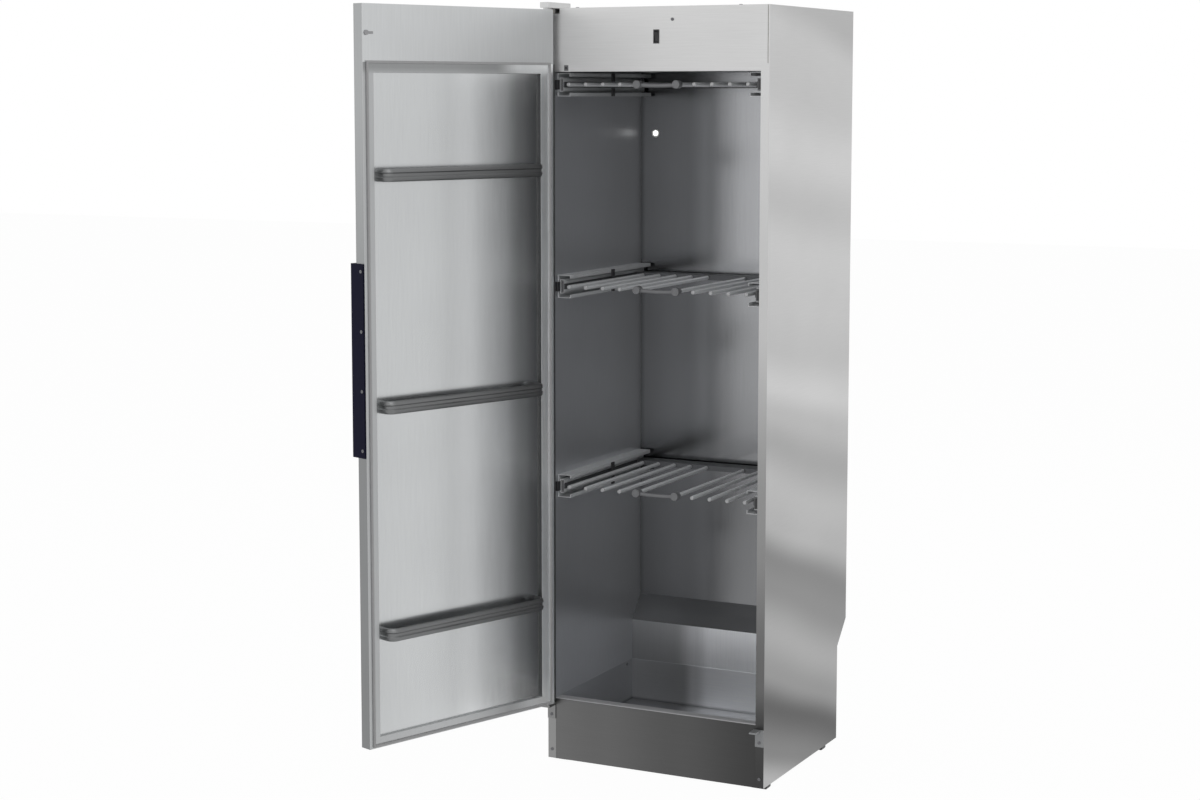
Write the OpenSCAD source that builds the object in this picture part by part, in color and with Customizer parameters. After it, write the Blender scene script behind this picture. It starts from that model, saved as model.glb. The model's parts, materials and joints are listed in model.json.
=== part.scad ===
// Tall drying cabinet with three pull-out hanger racks and one hinged door.
// +X is the cabinet's right as seen from the front, -Y is the front, +Z is up.
// The origin is on the floor, under the middle of the cabinet body.
// The door stands open, as it does when the cabinet is being loaded.

/* [Cabinet body] */
// Width over the side panels
cabinet_w = 600; // [540:5:700]
// Depth of the body without the door
cabinet_d = 564; // [520:2:640]
// Height over the top panel
cabinet_h = 1925; // [1900:5:2050]
// Height of the glides under the body
foot_h = 10; // [6:1:20]
// Thickness of the steel sheet
sheet_t = 0.8; // [0.6:0.1:1.5]
// Thickness of a double side wall, and width of the front post
side_wall_t = 22; // [20:1:26]
// Thickness of the double back wall
back_wall_t = 66; // [56:1:80]
// Height of the header above the chamber
header_h = 157; // [152:1:160]
// Height of the header's lower strip, which fits between the posts
head_lap = 18; // [16:1:32]
// Height of the kick panel's top edge
kick_z = 171; // [165:1:200]
// Depth of the kick panel's folded top lip
kick_lip_d = 28; // [20:1:40]
// Height of the chamber floor
tray_z = 60; // [45:1:80]

/* [Rear recess] */
// Depth of the recess low on the back
recess_d = 61; // [40:1:70]
// Height where the slope of the recess starts
recess_z = 259; // [220:1:300]
// Height of the slope of the recess
recess_slope_h = 64; // [50:1:90]
// Step forward of the back liner low in the chamber
liner_step = 50; // [36:1:56]
// Height where the slope of the back liner starts
liner_slope_z = 281; // [270:1:300]

/* [Door] */
// Setback of the door's ends from the sides of the body
door_side_gap = 1.5; // [1:0.25:3]
// Height of the door's bottom edge
door_z0 = 158.5; // [158.5:0.5:160]
// Gap between the door's top edge and the top of the body
door_top_gap = 4; // [3:0.5:8]
// Thickness of the door
door_t = 31.4; // [28:0.2:34]
// Gap between the closed door and the front of the body
door_gap = 4; // [3.6:0.1:5]
// Angle the door stands open at
door_open = 109.5; // [0:0.5:180]
// Distance of the hinge axis from the door's end
hinge_inset = 8; // [7.6:0.1:9]
// Depth of the recess in the door's inner face
door_recess = 8; // [5:0.5:12]
// Width of the inner frame on the hinge side
frame_hinge_w = 42; // [34:1:52]
// Width of the inner frame on the free side
frame_free_w = 32; // [24:1:40]
// Width of the seal
seal_w = 6; // [4:0.5:8]

/* [Door rails and handle] */
// Gap between the ends of a door rail and the door's inner frame
rail_end_gap = 11.5; // [8:0.5:70]
// How far a door rail stands off the inner panel
rail_depth = 40; // [30:1:60]
// Height of a door rail
rail_h = 32; // [20:1:40]
// Outer radius of a door rail's corners
rail_corner_r = 22; // [14:1:28]
// Distance of the lowest door rail from the lower end of the door's inner panel
rail_low_gap = 248; // [120:1:300]
// Distance of the highest door rail from the upper end of the door's inner panel
rail_top_gap = 237; // [120:0.5:300]
// Length of the handle
handle_l = 459; // [300:1:600]
// Height of the handle's middle
handle_z = 1090; // [900:1:1200]
// How far the handle stands out in front of the door
handle_reach = 17; // [14:1:24]
// Thickness of the handle's plate
handle_t = 3; // [2.5:0.5:4]

/* [Racks] */
// Distance of the top rack from the header
rack_top_gap = 32; // [30:1:80]
// Distances from the top rack to the middle one, and on to the bottom one
rack_spacing = [506, 510];
// Radius of a rod
rod_r = 5; // [3:0.5:6]
// Distance of the innermost rods from the middle
rod_first_x = 53; // [48:1:66]
// Distance of the outermost rods from the rack's side arms
rod_side_gap = 20.2; // [14:0.1:40]
// Number of rods on each half
rods_per_half = 5; // [3:1:5]
// Setback of the rods' front ends behind the body's front
rod_setback = 4; // [2:1:20]
// Gap between a rack and the back liner
rack_back_gap = 12; // [8:1:30]

/* [Slides] */
// Height of the wall bracket that holds a slide
bracket_h = 58; // [50:1:60]
// Depth of the wall bracket into the chamber
bracket_d = 35; // [28:1:36]
// Height of the bracket's lips
bracket_lip = 9; // [6:0.5:11]
// Height of a slide
slide_h = 35; // [30:1:38]
// Running gap between the members of a slide
slide_gap = 0.35; // [0.3:0.05:0.45]
// Thickness of a slide member's metal
slide_t = 1.5; // [1.2:0.1:2]
// Distance of a slide from the web of its wall bracket
slide_standoff = 4; // [3:0.5:5]

/* [Air system] */
// Radius of the exhaust duct's bore
exhaust_r = 50; // [40:1:50]
// Radius of the fan's impeller
impeller_r = 72; // [60:1:76]
// Height of the fan's impeller
impeller_h = 56; // [40:1:60]
// Radius of the vent hole in the back wall
vent_r = 7.5; // [5:0.5:10]

/* [Hidden] */
$fn = 48;

// Main planes of the body
half_w = cabinet_w / 2;
y_front = -cabinet_d / 2;
y_rear = cabinet_d / 2;
liner_x = half_w - side_wall_t;            // inner face of a side wall
cover_y = y_rear - sheet_t;                // inner face of the back cover
side_top = cabinet_h - sheet_t;            // underside of the top panel
liner_y = y_rear - back_wall_t;            // inner face of the back wall, high
liner_low_y = liner_y - liner_step;        // inner face of the back wall, low
head_z = cabinet_h - header_h;             // lower edge of the header panel
head_lap_z = head_z + head_lap;            // height from which the header panel covers the posts too
ceiling_z = head_z + sheet_t;              // underside of the ceiling plate
deck_z = ceiling_z + sheet_t;              // top of the ceiling plate
liner_joint_z = liner_slope_z + recess_slope_h;
cover_lap = 20;                            // height of the lower back cover above its slope
cover_joint_z = recess_z + recess_slope_h + cover_lap;
cover_inset = 8;
cover_x = half_w - cover_inset;

// Header panel and what it carries
side_return = 3.2;                         // narrow fold of the side panel beside the header
header_x = half_w - 5;
header_return = 25;
corner_notch = [22, 13];                   // width and height of the notch under the hinge arm
corner_notch_x = -half_w + 14;
rocker_x = 2;
rocker_z = head_lap_z + 66;
rocker_hole = [13, 31];
rocker_frame = 1.5;                        // how far the rocker's frame stands proud
rocker_tilt = 8;
rocker_pivot_y = y_front + 3;
rocker_pin_r = 1.5;
door_switch_x = -half_w + 54.5;
door_switch_z = head_z + 9;
door_switch_size = [12, 14];
plunger_r = 2.4;
plunger_out = 3.4;
plunger_l = 15.4;
run_gap = 0.05;                            // radial clearance of what turns or slides in a bore

// Screws
screw_r = 1.9;
screw_hole_r = 2;
screw_head_r = 4;
screw_head_h = 1.6;
post_screw_x = half_w - 11;
post_screw_z = [33, 126];
rear_screw_x = half_w - 15;
rear_screw_low = [60, 210];
rear_screw_count = 5;
rear_screw_edge = 40;
rear_screw_z = [for (i = [0 : rear_screw_count - 1]) cover_joint_z + rear_screw_edge
    + i * (side_top - cover_joint_z - 2 * rear_screw_edge) / (rear_screw_count - 1)];
screw_l = 8;                               // shank of a short screw
long_screw_l = 10;
screw_room = 14;                           // depth of the screw holes in the insulation
head_screw = [45, rocker_z + 41];
top_screw = [half_w - 80, y_front + 12];
tray_screw_y = [liner_low_y - 33, y_front + kick_lip_d + 14];
tray_screw_z = kick_z - 8;

// Door planes, with the door closed
door_w = cabinet_w - 2 * door_side_gap;
door_z1 = cabinet_h - door_top_gap;
door_x0 = -door_w / 2;
door_x1 = door_w / 2;
door_in_y = y_front - door_gap;
door_out_y = door_in_y - door_t;
hinge_x = door_x0 + hinge_inset;
hinge_y = door_in_y - door_t / 2;
pin_r = 4;
pin_in_door = 28;
bush_r = 6;
bush_l = 30;
head_plate_z = head_lap_z + 0.5;           // lower edge of the flat zone at the door's top
frame_top_w = 24;
frame_bottom_w = 26.5;
panel_x0 = door_x0 + frame_hinge_w;
panel_x1 = door_x1 - frame_free_w;
panel_z0 = door_z0 + frame_bottom_w;
panel_z1 = head_plate_z - frame_top_w;
panel_y = door_in_y - door_recess;         // visible face of the recessed inner panel
panel_lap = 8;
seal_t = door_gap - 0.3;
seal_x = half_w - side_wall_t / 2 + seal_w / 2 - 3.5;
seal_z0 = door_z0 + 3;
seal_z1 = head_lap_z + 4;
magnet_x = door_x1 - 12;
magnet_z = rocker_z + 2;
rail_x0 = panel_x0 + rail_end_gap;
rail_x1 = panel_x1 - rail_end_gap;
rail_pitch = (panel_z1 - rail_top_gap - panel_z0 - rail_low_gap) / 2;
rail_z = [for (k = [0 : 2]) panel_z1 - rail_top_gap - k * rail_pitch];
rail_t = 10;
rail_groove = 2.5;
rail_groove_h = 8;
handle_y0 = door_in_y - 3;
handle_y1 = door_out_y - handle_reach;
handle_lip = 30;
handle_screw_y = door_in_y - 10;
handle_screw_edge = 18;
handle_screw_count = 4;
handle_screw_z = [for (i = [0 : handle_screw_count - 1])
    handle_z - handle_l / 2 + handle_screw_edge
    + i * (handle_l - 2 * handle_screw_edge) / (handle_screw_count - 1)];

// Hinge arms
arm_w = side_wall_t;
arm_h = 14;
arm_reach = door_gap + door_t;
arm_l = 86;
arm_collar_r = 8;
arm_collar_gap = 0.5;
low_arm_top = door_z0 - 0.6;
low_arm_t = 7;
post_plate_t = 3;
post_plate_z0 = post_screw_z[1] - 11;

// Crossbar at the back of a rack
crossbar_d = 48;
crossbar_h = 14;
crossbar_t = 2;

// Slides, measured from the wall bracket inwards
bracket_t = 1.5;
slide_x = liner_x - bracket_t - slide_standoff;    // back of the outer member
outer_lip = 9;
carrier_x = slide_x - slide_t - slide_gap;
carrier_h = slide_h - 2 * slide_t - 2 * slide_gap;
carrier_lip = 8.1;
runner_x = carrier_x - slide_t - slide_gap;
runner_t = 6.6;
runner_h = carrier_h - 2 * slide_t - 2 * slide_gap;
arm_x = runner_x - runner_t;               // outer face of a rack's side arm
rack_arm_t = 2;
slide_y0 = y_front + 16;
slide_y1 = liner_y - rack_back_gap;
slide_end_gap = 1;
pad_l = 30;                                // raised pads that carry a slide
pad_h = 18;
cap_h = 24;                                // black cap in front of an outer slide
cap_y = y_front + 1;
clip_l = 15;                               // black clips on the lips of a wall bracket
clip_t = 4;
clip_y = slide_y0 + 0.49 * (slide_y1 - slide_y0);
clip_z = crossbar_h / 2 + 1;

// Racks
rack_z = [head_z - rack_top_gap, head_z - rack_top_gap - rack_spacing[0],
    head_z - rack_top_gap - rack_spacing[0] - rack_spacing[1]];
rod_pitch = (arm_x - rod_side_gap - rod_first_x) / (rods_per_half - 1);
crossbar_y0 = liner_y - rack_back_gap - crossbar_d;
rod_y0 = y_front + rod_setback;
boss_r = 10;
boss_l = 20;
boss_y0 = y_front + 2;
pull_r = 5;
pull_drop = 1;
pull_bow = 2;
pull_path = [for (k = [0 : 12]) let (x = rod_first_x * (k / 6 - 1))
    [x, -pull_bow * (1 - pow(x / rod_first_x, 2)) - pull_r]];

// Air system
fan_y = -62;
housing_wall = 1.5;
housing_r = impeller_r + 16;
housing_z1 = deck_z + impeller_h + 26;
impeller_z0 = deck_z + 12;
intake_r = impeller_r - 12;
shaft_r = 4;
duct_x = 105;
duct_y1 = 176;
duct_outlet_l = 73;
heater_gap = 20;                           // distance of the heater's tubes from the fan's housing
heater_pitch = [24, 28];                   // spacing of the tubes in depth and in height
heater_rise = 26;
heater_edge = 12;
heater_tube_r = 4;
heater_plate_t = 2;
thermostat_x = duct_x - 40;
thermostat_y = duct_y1 - 60;
thermostat_r = 12;
thermostat_h = 9;
tab_size = [1, 6, 8];
motor_r = 42;
motor_h = 48;
exhaust_x = -192;
exhaust_y = 96;
collar_t = 1.5;
collar_flange_r = exhaust_r + 12;
collar_up = 3;
slot_w = 8;
slot_gap = 16;
slot_edge = 14;
box_w = 120;                               // control box beside the fan
box_d = 110;
box_side_gap = 28;
box_front_gap = 50;
box_x = [liner_x - box_side_gap - box_w, liner_x - box_side_gap];
box_y = [y_front + box_front_gap, y_front + box_front_gap + box_d];
box_h = 58;
box_wall = 2;
gland_x = 200;
gland_z = cabinet_h - 75;
gland_r = 8;
gland_bore_r = 4.5;
vent_x = -half_w + 65;
vent_drop = 160;
vent_z = head_z - vent_drop;
vent_wall = 2;
glide_half = 14;
glide_x = half_w - 30;
glide_inset = 2;
glide_y = [y_front + 40, cover_y - recess_d - 85];

// ---- geometry helpers ----

function unit(v) = v / norm(v);
function left(v) = [-v[1], v[0]];
function edge(p, i) = unit(p[i + 1] - p[i]);
// A point of a path moved sideways by t, mitred at the corners
function moved(p, i, t) =
    i == 0 ? p[0] + t * left(edge(p, 0)) :
    i == len(p) - 1 ? p[i] + t * left(edge(p, i - 1)) :
    let (a = left(edge(p, i - 1)), b = left(edge(p, i))) p[i] + (a + b) * t / (1 + a * b);
function moved_path(p, t) = [for (i = [0 : len(p) - 1]) moved(p, i, t)];
// Outline of a bent sheet of thickness t along a path
function sheet(p, t) = concat(p, [for (i = [len(p) - 1 : -1 : 0]) moved(p, i, t)]);
function arc(c, r, a0, a1, n = 6) =
    [for (i = [0 : n]) c + r * [cos(a0 + (a1 - a0) * i / n), sin(a0 + (a1 - a0) * i / n)]];

// Extrudes a (y, z) outline from x0 to x1
module along_x(x0, x1) translate([x0, 0, 0]) rotate([90, 0, 90]) linear_extrude(x1 - x0) children();
module slab(x0, x1, y0, y1, z0, z1) translate([x0, y0, z0]) cube([x1 - x0, y1 - y0, z1 - z0]);
// A slab given by its middle and width in X, and by its middle and height in Z
module slab_around(x, w, y0, y1, z, h) slab(x - w / 2, x + w / 2, y0, y1, z - h / 2, z + h / 2);
module bar_x(x0, x1, y, z, r) translate([x0, y, z]) rotate([0, 90, 0]) cylinder(r = r, h = x1 - x0);
module bar_y(x, y0, y1, z, r) translate([x, y0, z]) rotate([-90, 0, 0]) cylinder(r = r, h = y1 - y0);
module bar_z(x, y, z0, z1, r) translate([x, y, z0]) cylinder(r = r, h = z1 - z0);
module both_sides() { children(); mirror([1, 0, 0]) children(); }

// Places the closed door's pieces where the open door holds them
module on_door()
    translate([hinge_x, hinge_y, 0]) rotate([0, 0, -door_open]) translate([-hinge_x, -hinge_y, 0]) children();

// A pan-head screw standing on a face at the origin, its head towards +Z
module screw(shank) {
    rim_h = screw_head_h * 0.6;
    cylinder(r = screw_head_r, h = rim_h);
    translate([0, 0, rim_h]) cylinder(r1 = screw_head_r, r2 = screw_head_r * 0.7, h = screw_head_h - rim_h);
    translate([0, 0, -shank]) cylinder(r = screw_r, h = shank);
}
module screw_front(x, y, z, shank) translate([x, y, z]) rotate([90, 0, 0]) screw(shank);
module screw_rear(x, y, z, shank) translate([x, y, z]) rotate([-90, 0, 0]) screw(shank);

// ---- cabinet body ----

function rear_edge(z0, z1) = [[cover_y - recess_d, z0], [cover_y - recess_d, recess_z],
    [cover_y, recess_z + recess_slope_h], [cover_y, z1]];
function side_outline(t) = concat([[y_front + t, foot_h + t]],
    moved_path(rear_edge(foot_h + t, side_top - t), t), [[y_front + t, side_top - t]]);

// Left side panel: a tray with folded edges; its front fold is the post
module side_panel() difference() {
    union() {
        along_x(-half_w, -half_w + sheet_t) polygon(side_outline(0));
        along_x(-half_w, -liner_x) difference() {
            polygon(side_outline(0));
            polygon(side_outline(sheet_t));
        }
    }
    slab(-half_w + side_return, -liner_x + 1, y_front - 1, y_front + sheet_t, head_lap_z, cabinet_h);
    for (z = post_screw_z) bar_y(-post_screw_x, y_front - 1, y_front + 2 * sheet_t, z, screw_hole_r);
    rear_screw_holes();
}
module rear_screw_holes() {
    for (z = rear_screw_z)
        bar_y(-rear_screw_x, cover_y - 2 * sheet_t, y_rear + 1, z, screw_hole_r);
    for (z = rear_screw_low)
        bar_y(-rear_screw_x, cover_y - recess_d - 2 * sheet_t, y_rear - recess_d + sheet_t, z, screw_hole_r);
}
module side_panel_left() color("silver") side_panel();
module side_panel_right() color("silver") mirror([1, 0, 0]) side_panel();

module side_liners() color("gainsboro") both_sides() difference() {
    along_x(-liner_x - sheet_t, -liner_x) polygon(side_outline(sheet_t));
    for (y = tray_screw_y) bar_x(-liner_x - 2 * sheet_t, -liner_x + 1, y, tray_screw_z, screw_hole_r);
}

function liner_path() = [[liner_low_y, tray_z], [liner_low_y, liner_slope_z],
    [liner_y, liner_joint_z], [liner_y, ceiling_z]];
module back_liner_upper() color("gainsboro") difference() {
    slab(-liner_x, liner_x, liner_y, liner_y + sheet_t, liner_joint_z, ceiling_z);
    bar_y(vent_x, liner_y - 1, liner_y + 2 * sheet_t, vent_z, vent_r + vent_wall);
}
module back_liner_lower() color("gainsboro") intersection() {
    along_x(-liner_x, liner_x) polygon(sheet(liner_path(), -sheet_t));
    slab(-half_w, half_w, y_front, y_rear, tray_z, liner_joint_z);
}

module wall_insulation() color("khaki") {
    both_sides() difference() {
        along_x(-half_w + sheet_t, -liner_x - sheet_t) polygon(side_outline(sheet_t));
        for (z = post_screw_z) bar_y(-post_screw_x, y_front, y_front + screw_room, z, screw_hole_r);
        for (z = rear_screw_z) bar_y(-rear_screw_x, cover_y - screw_room, y_rear, z, screw_hole_r);
        for (z = rear_screw_low)
            bar_y(-rear_screw_x, cover_y - recess_d - screw_room, y_rear, z, screw_hole_r);
        for (y = tray_screw_y) bar_x(-liner_x - screw_room, -liner_x, y, tray_screw_z, screw_hole_r);
    }
    difference() {
        along_x(-liner_x, liner_x) polygon(concat(moved_path(liner_path(), -sheet_t),
            [for (i = [3 : -1 : 0]) rear_edge(tray_z, ceiling_z)[i]]));
        bar_y(vent_x, liner_y - 1, y_rear, vent_z, vent_r + vent_wall);
    }
}

module back_cover_upper() color("lightgray") difference() {
    slab(-cover_x, cover_x, cover_y, y_rear, cover_joint_z, side_top - 3);
    both_sides() rear_screw_holes();
    bar_y(vent_x, cover_y - 1, y_rear + 1, vent_z, vent_r + vent_wall);
    bar_y(gland_x, cover_y - 1, y_rear + 1, gland_z, gland_r);
}
module back_cover_lower() color("lightgray") difference() {
    along_x(-cover_x, cover_x) polygon(sheet(rear_edge(foot_h + 3, cover_joint_z), -sheet_t));
    both_sides() rear_screw_holes();
}

module floor_tray() color("gainsboro") difference() {
    slab(-liner_x, liner_x, y_front + kick_lip_d, liner_low_y, tray_z - sheet_t, kick_z + 1);
    slab(-liner_x + sheet_t, liner_x - sheet_t, y_front + kick_lip_d + sheet_t, liner_low_y - sheet_t,
        tray_z, kick_z + 2);
    slab(-liner_x + sheet_t, liner_x - sheet_t, y_front, y_front + kick_lip_d + 2 * sheet_t,
        kick_z - sheet_t, kick_z + 2);
    both_sides() for (y = tray_screw_y)
        bar_x(-liner_x - 1, -liner_x + 2 * sheet_t, y, tray_screw_z, screw_hole_r);
}

module base_plate() color("silver") difference() {
    slab(-liner_x, liner_x, y_front + sheet_t, cover_y - recess_d, foot_h, foot_h + sheet_t);
    both_sides() for (y = glide_y) bar_z(-glide_x, y, foot_h - 1, foot_h + 2 * sheet_t, screw_hole_r + 2);
}

kick_r = 5;
module kick_panel() color("dimgray") along_x(-liner_x, liner_x)
    polygon(sheet(concat([[y_front, foot_h]], arc([y_front + kick_r, kick_z - kick_r], kick_r, 180, 90),
        [[y_front + kick_lip_d, kick_z], [y_front + kick_lip_d, kick_z - 14]]), -sheet_t));

module header_panel() color("lightgray") difference() {
    union() {
        slab(-header_x, header_x, y_front, y_front + sheet_t, head_lap_z, side_top);
        slab(-liner_x, liner_x, y_front, y_front + sheet_t, head_z, head_lap_z);
        slab(-liner_x, liner_x, y_front, y_front + header_return, head_z, head_z + sheet_t);
        both_sides() slab(-liner_x, -liner_x + sheet_t, y_front, y_front + header_return, deck_z, side_top);
    }
    slab(corner_notch_x, corner_notch_x + corner_notch[0], y_front - 1, y_front + sheet_t,
        side_top - corner_notch[1], cabinet_h);
    slab_around(rocker_x, rocker_hole[0], y_front - 1, y_front + 2, rocker_z, rocker_hole[1]);
    slab_around(door_switch_x, door_switch_size[0], y_front - 1, y_front + 2,
        door_switch_z, door_switch_size[1]);
    bar_y(head_screw[0], y_front - 1, y_front + 2, head_screw[1], screw_hole_r);
}

module top_panel() color("silver") difference() {
    slab(-half_w, half_w, y_front, y_rear, side_top, cabinet_h);
    bar_z(exhaust_x, exhaust_y, side_top - 1, cabinet_h + 1, exhaust_r + collar_t);
    both_sides() bar_z(-top_screw[0], top_screw[1], side_top - 1, cabinet_h + 1, screw_hole_r);
}

// Ceiling of the chamber: air is drawn in under the fan and blown down at the back
module ceiling_plate() color("silver") difference() {
    slab(-liner_x, liner_x, y_front + sheet_t, cover_y, ceiling_z, deck_z);
    bar_z(exhaust_x, exhaust_y, ceiling_z - 1, deck_z + 1, exhaust_r + collar_t / 2);
    intersection() {
        bar_z(0, fan_y, ceiling_z - 1, deck_z + 1, intake_r);
        for (i = [-3 : 3])
            slab(-intake_r, intake_r, fan_y + i * slot_gap - slot_w / 2, fan_y + i * slot_gap + slot_w / 2,
                ceiling_z - 1, deck_z + 1);
    }
    for (i = [0 : 3])
        slab(-duct_x + 12, duct_x - 12, duct_y1 - slot_edge - i * slot_gap - slot_w,
            duct_y1 - slot_edge - i * slot_gap, ceiling_z - 1, deck_z + 1);
}

module exhaust_collar() color("silver") difference() {
    union() {
        bar_z(exhaust_x, exhaust_y, deck_z, cabinet_h + collar_up, exhaust_r + collar_t);
        bar_z(exhaust_x, exhaust_y, cabinet_h, cabinet_h + collar_t, collar_flange_r);
    }
    bar_z(exhaust_x, exhaust_y, deck_z - 1, cabinet_h + collar_up + 1, exhaust_r);
}

// ---- air system in the header ----

module housing_body(inset) {
    bar_z(0, fan_y, deck_z + inset, housing_z1 - inset, housing_r - inset);
    slab(-duct_x + inset, duct_x - inset, fan_y, duct_y1 - inset, deck_z + inset, housing_z1 - inset);
}
module fan_housing() color("darkgray") difference() {
    housing_body(0);
    housing_body(housing_wall);
    bar_z(0, fan_y, deck_z - 1, deck_z + 2 * housing_wall, intake_r);
    bar_z(0, fan_y, housing_z1 - 2 * housing_wall, housing_z1 + 1, shaft_r + 4);
    slab(-duct_x + 2 * housing_wall, duct_x - 2 * housing_wall, duct_y1 - 2 * housing_wall - duct_outlet_l,
        duct_y1 - 2 * housing_wall, deck_z - 1, deck_z + 2 * housing_wall);
}

module heater() color("firebrick") {
    tube_y = [fan_y + housing_r + heater_gap, fan_y + housing_r + heater_gap + heater_pitch[0]];
    tube_z = [deck_z + heater_rise, deck_z + heater_rise + heater_pitch[1]];
    plate_x = duct_x - housing_wall;
    both_sides() slab(-plate_x, -plate_x + heater_plate_t, tube_y[0] - heater_edge, tube_y[1] + heater_edge,
        deck_z + housing_wall, tube_z[1] + heater_edge);
    for (y = tube_y) for (z = tube_z)
        bar_x(-plate_x + heater_plate_t / 2, plate_x - heater_plate_t / 2, y, z, heater_tube_r);
}

module fan_motor() color("dimgray") difference() {
    union() {
        bar_z(0, fan_y, housing_z1, housing_z1 + motor_h, motor_r);
        bar_z(0, fan_y, housing_z1 + motor_h, housing_z1 + motor_h + 5, motor_r - 14);
    }
    bar_z(0, fan_y, housing_z1 - 1, housing_z1 + motor_h - 6, shaft_r + run_gap);
}

blades = 12;
module fan_impeller() color("lightsteelblue") translate([0, fan_y, 0]) {
    difference() {
        union() {
            bar_z(0, 0, impeller_z0 + impeller_h - 3, impeller_z0 + impeller_h, impeller_r);
            bar_z(0, 0, impeller_z0 + impeller_h / 2, impeller_z0 + impeller_h, 14);
        }
        bar_z(0, 0, impeller_z0, impeller_z0 + impeller_h - 8, shaft_r);
    }
    difference() {
        bar_z(0, 0, impeller_z0, impeller_z0 + 3, impeller_r);
        bar_z(0, 0, impeller_z0 - 1, impeller_z0 + 4, impeller_r - 14);
    }
    for (i = [0 : blades - 1]) rotate([0, 0, i * 360 / blades])
        translate([impeller_r - 14, -1, impeller_z0]) rotate([0, 0, 20]) cube([13, 1.6, impeller_h]);
    bar_z(0, 0, impeller_z0 + impeller_h - 1, housing_z1 + motor_h - 10, shaft_r);
}

module thermostat() color("saddlebrown") {
    bar_z(thermostat_x, thermostat_y, housing_z1, housing_z1 + thermostat_h, thermostat_r);
    for (x = [-4.5, 4.5])
        slab_around(thermostat_x + x, tab_size[0], thermostat_y - tab_size[1] / 2,
            thermostat_y + tab_size[1] / 2, housing_z1 + thermostat_h + tab_size[2] / 2, tab_size[2]);
}

module control_box() color("dimgray") difference() {
    slab(box_x[0], box_x[1], box_y[0], box_y[1], deck_z, deck_z + box_h);
    slab(box_x[0] + box_wall, box_x[1] - box_wall, box_y[0] + box_wall, box_y[1] - box_wall,
        deck_z + box_wall, deck_z + box_h - box_wall);
    bar_y(box_x[1] - box_h / 2, box_y[1] - 2 * box_wall, box_y[1] + 1, deck_z + box_h / 2, 6);
}

module cable_gland() color([0.12, 0.12, 0.13]) difference() {
    union() {
        bar_y(gland_x, cover_y - 14, y_rear + 12, gland_z, gland_r - 0.1);
        for (y = [y_rear, cover_y - 5]) translate([gland_x, y, gland_z]) rotate([-90, 0, 0])
            cylinder(r = gland_r + 4, h = 5, $fn = 6);
    }
    bar_y(gland_x, cover_y - 15, y_rear + 13, gland_z, gland_bore_r);
}

// ---- switches behind the header ----

cavity = [10, 27];
module rocker_housing() color([0.1, 0.1, 0.11]) difference() {
    union() {
        slab_around(rocker_x, rocker_hole[0] + 2.4, y_front - rocker_frame, y_front,
            rocker_z, rocker_hole[1] + 3);
        slab_around(rocker_x, rocker_hole[0] - 0.2, y_front - 0.5, y_front + 22,
            rocker_z, rocker_hole[1] - 0.2);
    }
    slab_around(rocker_x, cavity[0], y_front - 4, y_front + 9, rocker_z, cavity[1]);
    bar_x(rocker_x - rocker_hole[0] / 2 + 0.4, rocker_x + rocker_hole[0] / 2 - 0.4, rocker_pivot_y, rocker_z,
        rocker_pin_r + run_gap);
}
module rocker() color([0.06, 0.06, 0.07])
translate([rocker_x, rocker_pivot_y, rocker_z]) rotate([rocker_tilt, 0, 0]) {
    along_x(-cavity[0] / 2 + 0.4, cavity[0] / 2 - 0.4)
        polygon([[-4.4, 11.8], [-3.2, 0], [-4.4, -11.8], [0, -12.2], [2.6, -4], [2.6, 4], [0, 12.2]]);
    bar_x(-rocker_hole[0] / 2 + 0.6, rocker_hole[0] / 2 - 0.6, 0, 0, rocker_pin_r);
}

module door_switch() color([0.1, 0.1, 0.11]) difference() {
    slab_around(door_switch_x, door_switch_size[0] - 0.2, y_front - 0.4, y_front + 34,
        door_switch_z, door_switch_size[1] - 0.2);
    bar_y(door_switch_x, y_front - 1, y_front + 20, door_switch_z, plunger_r + run_gap);
}
module switch_plunger() color([0.85, 0.85, 0.82])
    bar_y(door_switch_x, y_front - plunger_out, y_front - plunger_out + plunger_l, door_switch_z, plunger_r);

// ---- feet, hinges, small fittings ----

module glides() color([0.1, 0.1, 0.1]) both_sides() for (y = glide_y) {
    slab(glide_inset - half_w, glide_half - glide_x, y - glide_half, y + glide_half, 0, foot_h);
    bar_z(-glide_x, y, foot_h, foot_h + 12, screw_hole_r + 1.9);
}

module hinge_arm_top() color("silver") difference() {
    union() {
        slab(-half_w, -half_w + arm_w, y_front - arm_reach, y_front + arm_l, cabinet_h, cabinet_h + arm_h);
        bar_z(hinge_x, hinge_y, door_z1 + arm_collar_gap, cabinet_h, arm_collar_r);
    }
    bar_z(hinge_x, hinge_y, door_z1, cabinet_h + arm_h + 1, pin_r);
}
module hinge_arm_bottom() color("silver") difference() {
    union() {
        slab(-half_w, -liner_x, y_front - post_plate_t, y_front, post_plate_z0, low_arm_top);
        slab(-half_w, -liner_x, y_front - arm_reach, y_front, low_arm_top - low_arm_t, low_arm_top);
    }
    bar_z(hinge_x, hinge_y, low_arm_top - low_arm_t - 1, low_arm_top + 1, pin_r);
    bar_y(-post_screw_x, y_front - post_plate_t - 1, y_front + 1, post_screw_z[1], screw_hole_r);
}
module hinge_pins() color("dimgray") {
    bar_z(hinge_x, hinge_y, door_z1 - pin_in_door, cabinet_h + arm_h, pin_r);
    bar_z(hinge_x, hinge_y, low_arm_top - low_arm_t, door_z0 + pin_in_door, pin_r);
}
// Rest under the door's free end
module door_rest() color("silver") difference() {
    union() {
        slab(liner_x, half_w, y_front - post_plate_t, y_front, post_plate_z0, low_arm_top);
        slab(liner_x - 4, half_w - 8, y_front - 30, y_front, low_arm_top - 5, low_arm_top);
        translate([liner_x - 4, y_front - 30, low_arm_top - 2.5]) rotate([0, 90, 0])
            cylinder(r = 2.5, h = side_wall_t - 4);
    }
    bar_y(post_screw_x, y_front - post_plate_t - 1, y_front + 1, post_screw_z[1], screw_hole_r);
}

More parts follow.
